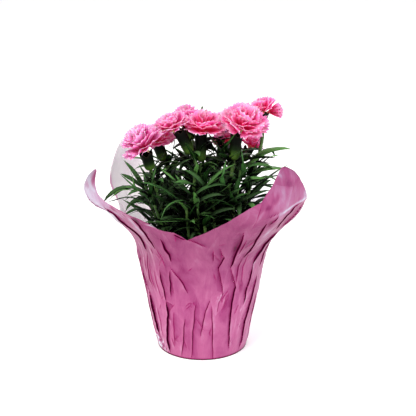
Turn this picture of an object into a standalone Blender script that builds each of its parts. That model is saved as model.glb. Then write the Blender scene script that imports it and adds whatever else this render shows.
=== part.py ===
"""Potted dianthus: a carnation-flowered pink in a plastic nursery pot, wrapped in a pleated foil cover.

The origin is the centre of the cover's flat underside, +Z up, and the front of the plant faces -Y.
Lengths below are in millimetres and are turned to metres by MM where the meshes are made.
"""
import math
import random

import bmesh
import bpy
from mathutils import Matrix, Vector
from mathutils.bvhtree import BVHTree

MM = 0.001

# Foil cover: one square sheet pressed over a form, its four corners standing out as flaps.
BASE_RADIUS = 46.0
WALL_LEAN = 10.6  # degrees from the vertical
FOIL = 0.6
PLEATS = 24
PLEAT_DEPTH = 1.3
PLEAT_RISE = 0.72  # the share of a pleat's width before its fold steps back
WALL_ROWS = (46.0, 50.0, 76.0, 112.0, 142.0)  # distances from the middle of the sheet
SKIRT_ROWS = 7
# Each station: its azimuth in degrees, the sheet's reach there from its middle, how square its
# corner is cut, and pairs of (distance from the middle, lean from the vertical in degrees).
COVER_STATIONS = (
    (258, 188, 0, ((147, 10.6), (176, 13), (195, 20), (235, 40))),  # front edge
    (318, 268, 5.5, ((146, 10.6), (176, 40), (214, 40), (238, 4), (268, -18))),  # front right flap
    (364, 193, 0, ((150, 10.6), (178, 40), (205, 46), (240, 30))),  # right edge
    (412, 228, 10, ((138, 10.6), (165, 50), (190, 82), (228, 112))),  # back right flap
    (456, 190, 0, ((142, 10.6), (172, 20), (200, 30), (235, 40))),  # back edge
    (498, 262, 10, ((142, 10.6), (170, 44), (205, 44), (230, 8), (262, -8))),  # back left flap
    (530, 203, 0, ((150, 10.6), (176, 46), (205, 46), (240, 10))),  # left edge
    (560, 262, 10, ((146, 10.6), (172, 44), (214, 46), (236, 0), (262, -36))),  # front left flap
)

# Nursery pot and its potting mix.
GAP = 0.3
POT_BASE_RADIUS = 41.0
POT_WALL = 1.2
POT_LEAN = 9.2
POT_BAND_HEIGHT = 86.0
POT_HEIGHT = 99.0
POT_BAND_RADIUS = 58.6
DRAIN_HOLES = 6
DRAIN_RADIUS = 4.0
DRAIN_CIRCLE = 29.0
MIX_TOP = 91.0
MIX_EDGE = 84.0
SOCKET_DEPTH = 3.0

# Stems and leaves.
FLOWER_STEM = 1.5
SHOOT_STEM = 1.2
LEAF_THICKNESS = 0.9
LEAF_WIDTHS = ((0.16, 0.86), (0.46, 1.0), (0.78, 0.66))  # share of the length, share of the full width
LEAF_CLEARANCE = 0.45
SHOOTS = 22

# Each flower: where its stem leaves the mix, the calyx foot, the calyx mouth, the middle of the
# head, and the head's radius and depth.
FLOWERS = (
    ((-25, -13), (-49, -26, 192), (-53, -32, 210), (-59, -34, 222), 17.5, 20),
    ((-22, 4), (-37, 1, 193), (-44, 5, 211), (-48, 9, 221), 15.5, 19),
    ((-11, -9), (-11, -9, 203), (-22, -13, 228), (-29, -14, 237), 17, 21),
    ((-9, 18), (-10, 28, 208), (-14, 32, 224), (-18, 35, 235), 13, 17),
    ((0, -1), (-1, -2, 193), (-1, 0, 221), (1, 1, 233), 20, 22),
    ((10, 15), (18, 24, 203), (20, 27, 219), (21, 29, 229), 12, 16),
    ((15, -4), (31, -6, 196), (34, -8, 223), (41, -10, 236), 22, 25),
    ((24, 10), (41, 17, 189), (47, 20, 202), (51, 23, 211), 12, 15),
    ((13, 27), (20, 36, 183), (24, 42, 197), (26, 46, 207), 13, 16),
    ((31, 1), (60, 12, 227), (63, 14, 239), (65, 15, 246), 15, 15),
)
FLOWER_STEM_BENDS = {10: ((46, 2, 160), (58, 6, 206))}  # this one passes between two heads
BUD = ((1, 14), (1, 27, 216), (0, 28, 240))

# The shoots that show at the front: the stem's points above the mix, then each leaf's points.
FRONT_SHOOTS = (
    (((20, -9), (31, -16, 145), (38, -15, 188)), (
        ((32, -16, 150), (47, -32, 160), (52, -42, 152)),
        ((36, -15, 176), (46, -25, 184), (61, -28, 184)),
        ((37, -15, 182), (60, -8, 188), (80, -2, 187)),
        ((38, -15, 188), (60, -2, 203), (78, 3, 206), (89, 6, 204)))),
    (((-22, -22), (-40, -30, 140), (-50, -31, 172)), (
        ((-38, -29, 136), (-50, -44, 146), (-60, -52, 143)),
        ((-46, -31, 158), (-69, -40, 169), (-90, -45, 165)),
        ((-50, -31, 170), (-64, -35, 184), (-77, -37, 191)))),
    (((-30, -4), (-48, -12, 145), (-55, -13, 172)), (
        ((-48, -12, 146), (-64, -16, 150), (-78, -22, 144)),
        ((-54, -13, 166), (-73, -14, 171), (-89, -16, 161)))),
    (((-5, -21), (-6, -34, 130), (-6, -40, 168)), (
        ((-6, -37, 143), (-25, -50, 149), (-53, -58, 149)),
        ((-6, -39, 160), (-20, -50, 169), (-33, -58, 165), (-39, -62, 151)),
        ((-6, -40, 166), (-14, -46, 179), (-25, -50, 194)))),
    (((6, -31), (4, -40, 125), (3, -46, 142)), (
        ((4, -42, 130), (16, -54, 139), (26, -61, 134)),
        ((3, -46, 141), (5, -54, 151), (8, -60, 157)))),
    (((12, -20), (12, -32, 135), (11, -36, 164)), (
        ((12, -33, 140), (24, -46, 150), (34, -55, 146)),
        ((11, -36, 162), (19, -42, 175), (29, -48, 185)))),
    (((24, -20), (30, -30, 130), (30, -32, 158)), (
        ((30, -30, 133), (44, -44, 141), (55, -50, 137)),
        ((30, -32, 156), (30, -45, 168), (26, -52, 180)))),
)


def collection(name):
    group = bpy.data.collections.new(name)
    bpy.context.scene.collection.children.link(group)
    return group


def clear_scene():
    for item in list(bpy.data.objects):
        bpy.data.objects.remove(item, do_unlink=True)


def material(name, colour, roughness, metallic=0.0):
    made = bpy.data.materials.new(name)
    made.use_nodes = True
    shader = made.node_tree.nodes["Principled BSDF"]
    shader.inputs["Base Color"].default_value = (*colour, 1.0)
    shader.inputs["Roughness"].default_value = roughness
    shader.inputs["Metallic"].default_value = metallic
    return made


def add_mesh(name, verts, faces, group, surface=None):
    """A mesh object from points in millimetres."""
    mesh = bpy.data.meshes.new(name)
    mesh.from_pydata([Vector(v) * MM for v in verts], [], faces)
    item = bpy.data.objects.new(name, mesh)
    group.objects.link(item)
    if surface:
        mesh.materials.append(surface)
    mesh.shade_smooth()
    return item


def face_outward(item):
    work = bmesh.new()
    work.from_mesh(item.data)
    bmesh.ops.recalc_face_normals(work, faces=work.faces)
    work.to_mesh(item.data)
    work.free()


def make_cutter(item):
    item.hide_render = True
    item.display_type = "WIRE"


def boolean(item, other, operation):
    step = item.modifiers.new(operation.lower(), "BOOLEAN")
    step.operation = operation
    step.object = other


def interpolate(table, x):
    if x <= table[0][0]:
        return table[0][1]
    for (x0, y0), (x1, y1) in zip(table, table[1:]):
        if x <= x1:
            return y0 + (y1 - y0) * (x - x0) / (x1 - x0)
    return table[-1][1]


def smooth_path(points, parts):
    """A smooth curve through the given points, each span of it in the given number of parts."""
    ends = [2 * points[0] - points[1], *points, 2 * points[-1] - points[-2]]
    path = []
    for i in range(len(points) - 1):
        a, b, c, d = ends[i:i + 4]
        for t in (step / parts for step in range(parts)):
            path.append(0.5 * ((2 * b) + (c - a) * t + (2 * a - 5 * b + 4 * c - d) * t * t
                               + (3 * b - a - 3 * c + d) * t ** 3))
    return [*path, points[-1]]


def along(path, share):
    """The place a share of the way along a path, and the path's direction there."""
    i = min(round(share * (len(path) - 1)), len(path) - 1)
    ahead, behind = path[min(i + 1, len(path) - 1)], path[max(i - 1, 0)]
    return path[i], (ahead - behind).normalized()


# ---------------------------------------------------------------- the foil cover

def station_blend(azimuth):
    """The two stations beside an azimuth, and how far it lies from the first to the second."""
    count = len(COVER_STATIONS)
    for i, (start, *_) in enumerate(COVER_STATIONS):
        after = COVER_STATIONS[(i + 1) % count]
        span = (after[0] - start) % 360
        share = ((azimuth - start) % 360) / span
        if share < 1:
            return COVER_STATIONS[i], after, share
    raise ValueError(azimuth)


def sheet_reach(before, after, share):
    """The distance to the sheet's edge: a rounded square between an edge's middle and a corner."""
    low, high = sorted((before[1], after[1]))
    turn = math.radians(45 * (share if before[1] < after[1] else 1 - share))
    n = max(before[2], after[2])
    square = (math.cos(turn) ** n + math.sin(turn) ** n) ** (-1 / n)
    corner = 2 ** (0.5 - 1 / n)
    return low + (high - low) * (square - 1) / (corner - 1)


def sheet_lean(station, distance):
    return interpolate(((0, WALL_LEAN), *station[3]), distance)


def cover_column(azimuth):
    """Radius, height and pleating of the sheet at each row, up one azimuth."""
    before, after, share = station_blend(azimuth)
    reach = sheet_reach(before, after, share)
    weight = share * share * (3 - 2 * share)
    top = WALL_ROWS[-1]
    rows = [*WALL_ROWS, *(top + (reach - top) * (i + 1) / SKIRT_ROWS for i in range(SKIRT_ROWS))]
    radius, height, done = BASE_RADIUS, 0.0, BASE_RADIUS
    column = []
    for row in rows:
        steps = max(1, round((row - done) / 2))
        for i in range(steps):
            middle = done + (row - done) * (i + 0.5) / steps
            lean = (1 - weight) * sheet_lean(before, middle) + weight * sheet_lean(after, middle)
            radius += math.sin(math.radians(lean)) * (row - done) / steps
            height += math.cos(math.radians(lean)) * (row - done) / steps
        done = row
        fade = interpolate(((46, 0), (56, 1), (140, 1), (185, 0.25), (300, 0.1)), row)
        column.append((radius, height, fade))
    return column


def foil_cover(group, surface):
    verts, faces = [(0, 0, 0)], []
    profile = ((0.0, -0.5), (PLEAT_RISE, 0.5), (0.93, -0.2))
    azimuths = [(pleat + u, offset) for pleat in range(PLEATS) for u, offset in profile]
    for place, offset in azimuths:
        angle = math.tau * place / PLEATS
        for radius, height, fade in cover_column(math.degrees(angle)):
            r = radius + offset * PLEAT_DEPTH * fade
            verts.append((r * math.cos(angle), r * math.sin(angle), height))
    rows = len(WALL_ROWS) + SKIRT_ROWS
    count = len(azimuths)
    for j in range(count):
        a, b = 1 + j * rows, 1 + ((j + 1) % count) * rows
        faces.append((0, b, a))
        for i in range(rows - 1):
            faces.append((a + i, b + i, b + i + 1, a + i + 1))
    cover = add_mesh("pot_cover", verts, faces, group, surface)
    shell = cover.modifiers.new("foil", "SOLIDIFY")
    shell.thickness = FOIL * MM
    shell.offset = -1
    return cover


# ---------------------------------------------------------------- the nursery pot and the mix

def turned(name, profile, steps, group, surface=None):
    """A profile of (radius, height), down its outer side, turned about Z."""
    verts = [(r, 0, z) for r, z in profile]
    item = add_mesh(name, verts, [], group, surface)
    work = bmesh.new()
    work.from_mesh(item.data)
    work.verts.ensure_lookup_table()
    for i in range(len(verts) - 1):
        work.edges.new((work.verts[i], work.verts[i + 1]))
    work.to_mesh(item.data)
    work.free()
    turn = item.modifiers.new("turned", "SCREW")
    turn.steps = turn.render_steps = steps
    turn.use_merge_vertices = True
    turn.merge_threshold = 0.0001
    return item


def pot_radius(height):
    """The nursery pot's outer radius below its rim band."""
    return POT_BASE_RADIUS + (height - FOIL - GAP) * math.tan(math.radians(POT_LEAN))


def cylinders(name, places, radius, depth, sides, group):
    """A mesh of upright cylinders centred on the given points."""
    work = bmesh.new()
    for place in places:
        bmesh.ops.create_cone(work, cap_ends=True, segments=sides, radius1=radius * MM,
                              radius2=radius * MM, depth=depth * MM,
                              matrix=Matrix.Translation(Vector(place) * MM))
    mesh = bpy.data.meshes.new(name)
    work.to_mesh(mesh)
    work.free()
    item = bpy.data.objects.new(name, mesh)
    group.objects.link(item)
    make_cutter(item)
    return item


def nursery_pot(group, cutters, surface):
    foot = FOIL + GAP
    floor = foot + POT_WALL
    band = pot_radius(POT_BAND_HEIGHT)
    profile = (
        (0, floor), (pot_radius(floor) - POT_WALL, floor),
        (band - POT_WALL, POT_BAND_HEIGHT), (POT_BAND_RADIUS - POT_WALL, POT_BAND_HEIGHT + 1.5),
        (POT_BAND_RADIUS - POT_WALL + 0.4, POT_HEIGHT), (POT_BAND_RADIUS + 0.4, POT_HEIGHT),
        (POT_BAND_RADIUS, POT_BAND_HEIGHT), (band, POT_BAND_HEIGHT),
        (POT_BASE_RADIUS, foot), (0, foot))
    pot = turned("nursery_pot", profile, 32, group, surface)
    places = [(DRAIN_CIRCLE * math.cos(math.tau * i / DRAIN_HOLES),
               DRAIN_CIRCLE * math.sin(math.tau * i / DRAIN_HOLES), foot) for i in range(DRAIN_HOLES)]
    boolean(pot, cylinders("drain_hole_cutters", places, DRAIN_RADIUS, 8, 10, cutters), "DIFFERENCE")
    return pot


def mix_profile():
    bottom = FOIL + GAP + POT_WALL + GAP
    edge = pot_radius(MIX_EDGE) - POT_WALL - GAP
    foot = pot_radius(bottom) - POT_WALL - GAP
    return ((0, MIX_TOP), (20, MIX_TOP - 0.6), (38, MIX_TOP - 2.4), (edge - 4, MIX_EDGE + 2.5),
            (edge, MIX_EDGE), (foot, bottom), (0, bottom))


def mix_height(x, y):
    return interpolate(mix_profile()[:4], math.hypot(x, y))


def potting_mix(group, cutters, surface, stems):
    mix = turned("potting_mix", mix_profile(), 32, group, surface)
    places = [(x, y, mix_height(x, y) - SOCKET_DEPTH - GAP + 5) for x, y in stems]
    sockets = cylinders("stem_socket_cutters", places, FLOWER_STEM + 0.6, 10, 6, cutters)
    boolean(mix, sockets, "DIFFERENCE")
    return mix


# ---------------------------------------------------------------- flowers

def aim(place, direction):
    """A matrix that puts +Z along direction at a place in millimetres."""
    turn = Vector(direction).to_track_quat("Z", "Y").to_matrix().to_4x4()
    return Matrix.Translation(Vector(place) * MM) @ turn


def calyx(name, foot, mouth, width, group, surface):
    """A tube that widens upward, held at its foot by short bracts."""
    axis = Vector(mouth) - Vector(foot)
    tall = axis.length
    profile = ((0, tall), (width, tall), (width * 0.86, tall * 0.66), (width * 0.78, tall * 0.4),
               (width * 0.84, tall * 0.34), (width * 0.74, tall * 0.12), (width * 0.36, 0), (0, 0))
    item = turned(name, profile, 8, group, surface)
    item.matrix_world = aim(foot, axis)
    return item


def flower_head(name, foot, mouth, middle, radius, depth, group, surface):
    """A closed dome of petals with a ruffled edge, on a short neck of petal claws."""
    rings = ((4.2, 0.0, 0.0), (radius * 0.55, depth * 0.26, 0.03), (radius * 0.98, depth * 0.40, 0.07),
             (radius * 0.90, depth * 0.66, 0.07), (radius * 0.52, depth * 0.88, 0.05))
    columns = 18
    verts = [(0, 0, 0), (0, 0, depth * 0.94)]
    for r, z, ruffle in rings:
        for j in range(columns):
            angle = math.tau * j / columns
            wave = 1 if j % 2 else -1
            reach = r * (1 + ruffle * wave)
            verts.append((reach * math.cos(angle), reach * math.sin(angle), z - ruffle * depth * wave))
    faces = []
    for j in range(columns):
        k = (j + 1) % columns
        faces.append((0, 2 + k, 2 + j))
        for i in range(len(rings) - 1):
            a, b = 2 + i * columns, 2 + (i + 1) * columns
            faces.append((a + j, a + k, b + k, b + j))
        last = 2 + (len(rings) - 1) * columns
        faces.append((1, last + j, last + k))
    item = add_mesh(name, verts, faces, group, surface)
    axis = (Vector(middle) - Vector(mouth)).normalized()
    tilt = (Vector(mouth) - Vector(foot)).angle(axis)
    item.matrix_world = aim(Vector(mouth) + axis * (GAP + 6 * math.sin(tilt)), axis)
    return item


# ---------------------------------------------------------------- stems and leaves

def stem_tube(name, points, radius, parts, group, surface):
    """A stem along a smooth curve, straight in its socket, as a closed mesh."""
    curve = bpy.data.curves.new(name, "CURVE")
    curve.dimensions = "3D"
    curve.bevel_depth = radius * MM
    curve.bevel_resolution = 1 if radius == FLOWER_STEM else 0
    curve.use_fill_caps = True
    line = curve.splines.new("POLY")
    smooth = smooth_path([Vector(p) for p in points], parts)
    path = [smooth[0], *smooth[parts:]]
    line.points.add(len(path) - 1)
    for point, place in zip(line.points, path):
        point.co = (*(place * MM), 1)
    source = bpy.data.objects.new(name + "_curve", curve)
    group.objects.link(source)
    depsgraph = bpy.context.evaluated_depsgraph_get()
    mesh = bpy.data.meshes.new_from_object(source.evaluated_get(depsgraph))
    work = bmesh.new()
    work.from_mesh(mesh)
    bmesh.ops.remove_doubles(work, verts=work.verts, dist=0.00001)
    bmesh.ops.recalc_face_normals(work, faces=work.faces)
    work.to_mesh(mesh)
    work.free()
    stem = bpy.data.objects.new(name, mesh)
    stem.matrix_world = source.matrix_world
    group.objects.link(stem)
    bpy.data.objects.remove(source, do_unlink=True)
    mesh.materials.clear()
    mesh.materials.append(surface)
    mesh.shade_smooth()
    return stem


def rooted(soil, points):
    """A stem's points from its socket in the mix, straight up at first."""
    x, y = soil
    z = mix_height(x, y) - SOCKET_DEPTH
    return [(x, y, z), (x, y, z + 7), *points]


def arched_spine(start, azimuth, length, rise, fall):
    """A leaf's middle line: it leaves at an angle of rise degrees and bends down to fall."""
    place = Vector(start)
    points = [place.copy()]
    steps = 4
    for i in range(steps):
        tilt = math.radians(rise + (fall - rise) * (i + 0.5) / steps)
        place += Vector((math.cos(azimuth) * math.cos(tilt), math.sin(azimuth) * math.cos(tilt),
                         math.sin(tilt))) * length / steps
        points.append(place.copy())
    return points


def blade_sections(spine, width, margin):
    """Centre, side and normal vectors of a leaf's cross-sections, with their half sizes."""
    line = smooth_path(spine, 16)
    across = (spine[-1] - spine[0]).xy.orthogonal().to_3d().normalized()
    sections = []
    for share, part in LEAF_WIDTHS:
        place, forward = along(line, share)
        side = (across - forward * across.dot(forward)).normalized()
        sections.append((place, side, side.cross(forward), width * part / 2 + margin,
                         LEAF_THICKNESS / 2 + margin))
    return sections


def leaf_pair(near, far, width, margin=0.0):
    """Points and faces of two opposite leaves that join round their stem, as one closed loft."""
    first = blade_sections(near, width, margin)
    second = blade_sections(far, width, margin)
    joint = (near[0], first[0][1], Vector((0, 0, 1)), 0.7 + margin, 0.5 + margin)
    flip = -1 if first[0][1].dot(second[0][1]) < 0 else 1
    second = [(place, side * flip, normal, a, b) for place, side, normal, a, b in second]
    sections = [*reversed(second), joint, *first]
    verts = [far[-1], near[-1]]
    for place, side, normal, a, b in sections:
        up = normal if normal.z >= 0 else -normal
        verts += [place - side * a, place + up * b, place + side * a, place - up * b]
    faces = []
    last = 2 + 4 * (len(sections) - 1)
    for k in range(4):
        n = (k + 1) % 4
        faces += [(0, 2 + n, 2 + k), (1, last + k, last + n)]
        for i in range(len(sections) - 1):
            a = 2 + 4 * i
            faces.append((a + k, a + n, a + 4 + n, a + 4 + k))
    return verts, faces


class Clearance:
    """What already stands in the plant, so that a new leaf can be tried against it."""

    def __init__(self):
        self.solids = []

    def add_object(self, owner, item):
        depsgraph = bpy.context.evaluated_depsgraph_get()
        solid = item.evaluated_get(depsgraph)
        mesh = solid.to_mesh()
        place = item.matrix_world
        verts = [place @ v.co for v in mesh.vertices]
        faces = [tuple(f.vertices) for f in mesh.polygons]
        self.solids.append((owner, BVHTree.FromPolygons(verts, faces)))
        solid.to_mesh_clear()

    def add_leaf(self, owner, verts, faces):
        self.solids.append((owner, BVHTree.FromPolygons([v * MM for v in verts], faces)))

    def touched(self, owner, verts, faces):
        """The owners that a leaf would touch; its own stem doesn't count."""
        trial = BVHTree.FromPolygons([v * MM for v in verts], faces)
        own = owner + " stem"
        return [name for name, tree in self.solids if name != own and trial.overlap(tree)]


def add_leaves(stem, pairs, cutters):
    """Join a stem's leaf pairs to it."""
    verts, faces = [], []
    for pair_verts, pair_faces in pairs:
        start = len(verts)
        verts += pair_verts
        faces += [tuple(start + i for i in face) for face in pair_faces]
    if not pairs:
        return
    leaves = add_mesh(stem.name + "_leaves", verts, faces, cutters)
    face_outward(leaves)
    make_cutter(leaves)
    boolean(stem, leaves, "UNION")


def place_pair(clearance, owner, near, far_options, width):
    """Keep the first form of a pair that touches nothing, or none."""
    for far in far_options:
        if clearance.touched(owner, *leaf_pair(near, far, width, LEAF_CLEARANCE)):
            continue
        pair = leaf_pair(near, far, width)
        clearance.add_leaf(owner, *pair)
        return pair
    return None


def outward_shoots(count, taken):
    """Roots and tips of the shoots that fill the pot, kept clear of the stems already placed."""
    golden = math.pi * (3 - math.sqrt(5))
    shoots = []
    i = 0
    while len(shoots) < count:
        radius = 9 + 27 * math.sqrt((i % 40) / 40)
        angle = i * golden + 0.6
        i += 1
        x, y = radius * math.cos(angle), radius * math.sin(angle)
        if any(math.hypot(x - a, y - b) < 6.4 for a, b in taken):
            continue
        taken.append((x, y))
        shoots.append((x, y))
    return shoots


def build():
    clear_scene()
    plant = collection("potted_dianthus")
    cutters = collection("cutters")
    foil = material("pink_foil", (0.55, 0.16, 0.34), 0.35, 0.4)
    plastic = material("black_polypropylene", (0.02, 0.02, 0.022), 0.55)
    peat = material("potting_mix", (0.04, 0.025, 0.018), 0.95)
    leaf = material("dianthus_leaf", (0.03, 0.09, 0.035), 0.5)
    green = material("dianthus_calyx", (0.03, 0.08, 0.02), 0.5)
    petal = material("pink_petal", (0.80, 0.16, 0.38), 0.6)

    cover = foil_cover(plant, foil)
    pot = nursery_pot(plant, cutters, plastic)
    clearance = Clearance()
    clearance.add_object("cover", cover)
    clearance.add_object("pot", pot)

    roots, stems = [], []
    for number, (soil, foot, mouth, middle, radius, depth) in enumerate(FLOWERS, 1):
        name = f"flower_{number:02d}"
        axis = (Vector(mouth) - Vector(foot)).normalized()
        width = 6.4 if radius > 15 else 5.2
        parts = [calyx(name + "_calyx", foot, mouth, width, plant, green),
                 flower_head(name + "_petals", foot, mouth, middle, radius, depth, plant, petal)]
        top = Vector(foot) - axis * 2 * GAP
        low = (soil[0] * 0.55 + foot[0] * 0.45, soil[1] * 0.55 + foot[1] * 0.45, 138)
        bends = FLOWER_STEM_BENDS.get(number, (low, tuple(top - axis * 12)))
        points = rooted(soil, [*bends, tuple(top)])
        stem = stem_tube(name + "_stem", points, FLOWER_STEM, 2, plant, leaf)
        parts.append(stem)
        for item in parts:
            clearance.add_object(name + (" stem" if item is stem else ""), item)
        roots.append(soil)
        stems.append((name, stem, points, 1))

    soil, foot, tip = BUD
    calyx("bud_01_calyx", foot, tip, 4.6, plant, green)
    clearance.add_object("bud_01", bpy.data.objects["bud_01_calyx"])
    points = rooted(soil, [(1, 21, 140), (1, 26, 190), (1, 27, foot[2] - GAP)])
    stem = stem_tube("bud_01_stem", points, SHOOT_STEM, 3, plant, leaf)
    clearance.add_object("bud_01 stem", stem)
    roots.append(soil)
    stems.append(("bud_01", stem, points, 1))

    front = []
    for number, ((soil, *rest), leaves) in enumerate(FRONT_SHOOTS, 1):
        name = f"leafy_shoot_{number:02d}"
        points = rooted(soil, rest)
        stem = stem_tube(name, points, SHOOT_STEM, 3, plant, leaf)
        clearance.add_object(name + " stem", stem)
        roots.append(soil)
        front.append((name, stem, leaves))

    fill = []
    rng = random.Random(7)
    for number, (x, y) in enumerate(outward_shoots(SHOOTS - len(front), list(roots)), len(front) + 1):
        name = f"leafy_shoot_{number:02d}"
        out = 1.25 + 0.55 * rng.random()
        tall = rng.uniform(46, 84)
        tip = (x * out, y * out, MIX_TOP + tall)
        points = rooted((x, y), [(x * (1 + out) / 2, y * (1 + out) / 2, MIX_TOP + tall / 2), tip])
        stem = stem_tube(name, points, SHOOT_STEM, 2, plant, leaf)
        clearance.add_object(name + " stem", stem)
        roots.append((x, y))
        fill.append((name, stem, points, 4))

    mix = potting_mix(plant, cutters, peat, roots)
    clearance.add_object("mix", mix)

    dropped = 0
    for name, stem, leaves in front:
        pairs = []
        for leaf_points in leaves:
            near = [Vector(p) for p in leaf_points]
            away = near[0] - near[-1]
            azimuth = math.atan2(away.y, away.x)
            options = [arched_spine(near[0], azimuth + turn, length, rise, rise - 25)
                       for length in (34, 26, 18) for rise in (62, 75, 45)
                       for turn in (0, 0.5, -0.5, 0.9, -0.9)]
            pair = place_pair(clearance, name, near, options, 5.6)
            if pair:
                pairs.append(pair)
            else:
                trial = leaf_pair(near, options[-1], 5.6, LEAF_CLEARANCE)
                print("no room:", name, leaf_points[-1], clearance.touched(name, *trial))
        add_leaves(stem, pairs, cutters)
    for name, stem, points, wanted in [*fill, *stems]:
        path = smooth_path([Vector(p) for p in points], 10)
        pairs = []
        first = rng.uniform(0, math.pi)
        for level in range(wanted):
            share = 0.97 - 0.2 * level if wanted > 1 else 0.52
            joint = along(path, share)[0]
            best = None
            for attempt in range(60):
                azimuth = first + level * math.pi / 2 + rng.uniform(-0.5, 0.5)
                length = rng.uniform(34, 56) * (1 - attempt / 120)
                rise = rng.uniform(35, 70)
                near = arched_spine(joint, azimuth, length, rise, rise - rng.uniform(20, 80))
                far = arched_spine(joint, azimuth + math.pi + rng.uniform(-0.3, 0.3),
                                   length * rng.uniform(0.8, 1), rise, rise - rng.uniform(20, 80))
                best = place_pair(clearance, name, near, [far], rng.uniform(4.2, 5.4))
                if best:
                    pairs.append(best)
                    break
            dropped += not best
        add_leaves(stem, pairs, cutters)
    print("leaf pairs with no room:", dropped)


build()
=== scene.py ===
import math
import random

import bmesh
import bpy
import numpy as np
from mathutils import Matrix, Vector, noise
from mathutils.bvhtree import BVHTree


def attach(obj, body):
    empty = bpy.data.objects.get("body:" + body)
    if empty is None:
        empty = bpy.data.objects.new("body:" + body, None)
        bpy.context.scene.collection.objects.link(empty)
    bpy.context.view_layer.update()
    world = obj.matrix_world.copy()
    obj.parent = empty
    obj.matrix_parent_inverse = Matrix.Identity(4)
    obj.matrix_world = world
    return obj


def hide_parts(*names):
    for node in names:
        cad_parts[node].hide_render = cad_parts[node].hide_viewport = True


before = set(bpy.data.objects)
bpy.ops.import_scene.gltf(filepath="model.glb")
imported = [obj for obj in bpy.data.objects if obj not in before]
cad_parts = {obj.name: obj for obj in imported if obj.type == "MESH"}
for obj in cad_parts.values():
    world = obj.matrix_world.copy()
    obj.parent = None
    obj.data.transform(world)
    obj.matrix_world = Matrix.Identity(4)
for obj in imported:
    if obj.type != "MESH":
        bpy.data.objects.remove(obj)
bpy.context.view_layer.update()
mm = 0.001  # sizes are given in millimetres; the scene is in metres
print("frame loaded:", len(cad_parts), "nodes")


# Camera, floor and lights

stageSetup = {
    "lens": 85, "sensor": 36, "distance": 0.982, "elevation": 17.5, "target": (0.006, 0.0, 0.145),
    "floorSize": 14.0, "floorColour": "#e9e8e8", "worldStrength": 0.38,
    # The floor's own glow, near the plant and far behind it, with the distances between.
    "floorGlow": (0.40, 0.66, 0.7, 2.4),
    # Each light: its place, size, power in watts and colour. All of them face one point.
    "lightTarget": (0, 0, 0.13),
    "lights": {
        "keyLight": ((-0.9, -1.15, 1.5), 1.2, 36, "#fffaf4"),
        "fillLight": ((1.4, -0.8, 1.0), 1.1, 15, "#f5f8ff"),
        "backLight": ((0.2, 1.3, 1.3), 1.2, 16, "#ffffff"),
    },
}


def linear(code):
    # A colour given as sRGB hex, turned to the linear values that a shader wants.
    parts = [int(code[i:i + 2], 16) / 255 for i in (1, 3, 5)]
    return (*(c / 12.92 if c <= 0.04045 else ((c + 0.055) / 1.055) ** 2.4 for c in parts), 1.0)


def perSize(size):
    # The texture scale that gives features of this many millimetres.
    return 1 / (size * mm)


def outlet(value):
    # The socket that a value stands for: a node stands for its first output in use.
    if isinstance(value, bpy.types.Node):
        return next(s for s in value.outputs if s.enabled)
    return value if isinstance(value, bpy.types.NodeSocket) else None


def addNode(tree, kind, inputs=(), **settings):
    # inputs is a list in socket order, or a dictionary by name or number. Each value is a plain
    # value, a socket or a node, or a list of those that all go to one input.
    node = tree.nodes.new(kind)
    for key, value in settings.items():
        setattr(node, key, value)
    for key, value in inputs.items() if isinstance(inputs, dict) else enumerate(inputs):
        for one in value if isinstance(value, list) else [value]:
            if outlet(one) is None:
                node.inputs[key].default_value = one
            else:
                tree.links.new(outlet(one), node.inputs[key])
    return node


def feed(node, values):
    # Links sockets or nodes to a node's inputs by name.
    for key, value in values.items():
        node.id_data.links.new(outlet(value), node.inputs[key])


def lookAt(item, place, target):
    item.location = place
    item.rotation_euler = (Vector(target) - Vector(place)).to_track_quat("-Z", "Y").to_euler()
    bpy.context.scene.collection.objects.link(item)


def makeStage():
    s = stageSetup
    scene = bpy.context.scene
    scene.view_settings.view_transform = "Standard"
    lens = bpy.data.cameras.new("plantCamera")
    lens.lens, lens.sensor_width = s["lens"], s["sensor"]
    scene.camera = bpy.data.objects.new("plantCamera", lens)
    rise = math.radians(s["elevation"])
    back = Vector((0, -math.cos(rise), math.sin(rise))) * s["distance"]
    lookAt(scene.camera, Vector(s["target"]) + back, s["target"])

    world = bpy.data.worlds.new("softStudio")
    world.use_nodes = True
    sky = world.node_tree.nodes["Background"].inputs
    sky["Color"].default_value = (1, 1, 1, 1)
    sky["Strength"].default_value = s["worldStrength"]
    scene.world = world
    for name, (place, size, power, tint) in s["lights"].items():
        light = bpy.data.lights.new(name, "AREA")
        light.size, light.energy, light.color = size, power, linear(tint)[:3]
        lookAt(bpy.data.objects.new(name, light), place, s["lightTarget"])

    half = s["floorSize"] / 2
    sheet = bpy.data.meshes.new("studioFloor")
    sheet.from_pydata([(-half, -half, 0), (half, -half, 0), (half, half, 0), (-half, half, 0)],
                      [], [(0, 1, 2, 3)])
    floor = bpy.data.objects.new("studioFloor", sheet)
    scene.collection.objects.link(floor)
    paint, tree, shader = newMaterial("mattFloorPaint", roughness=0.9, Emission_Color=(1, 1, 1, 1),
                                      Base_Color=linear(s["floorColour"]))
    near, far, start, end = s["floorGlow"]
    place = addNode(tree, "ShaderNodeTexCoord").outputs["Object"]
    away = addNode(tree, "ShaderNodeVectorMath", [place], operation="LENGTH")
    feed(shader, {"Emission Strength": addNode(tree, "ShaderNodeMapRange", {
        0: away.outputs["Value"], 1: start, 2: end, 3: near, 4: far})})
    sheet.materials.append(paint)
    print("stage made")


# Materials

def newMaterial(name, roughness=0.5, specular=0.5, **uniform):
    # A material, its tree and its shader, with the values that are the same all over.
    made = bpy.data.materials.new(name)
    made.use_nodes = True
    shader = made.node_tree.nodes["Principled BSDF"]
    shader.inputs["Roughness"].default_value = roughness
    shader.inputs["Specular IOR Level"].default_value = specular
    for key, value in uniform.items():
        shader.inputs[key.replace("_", " ")].default_value = value
    return made, made.node_tree, shader


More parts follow.
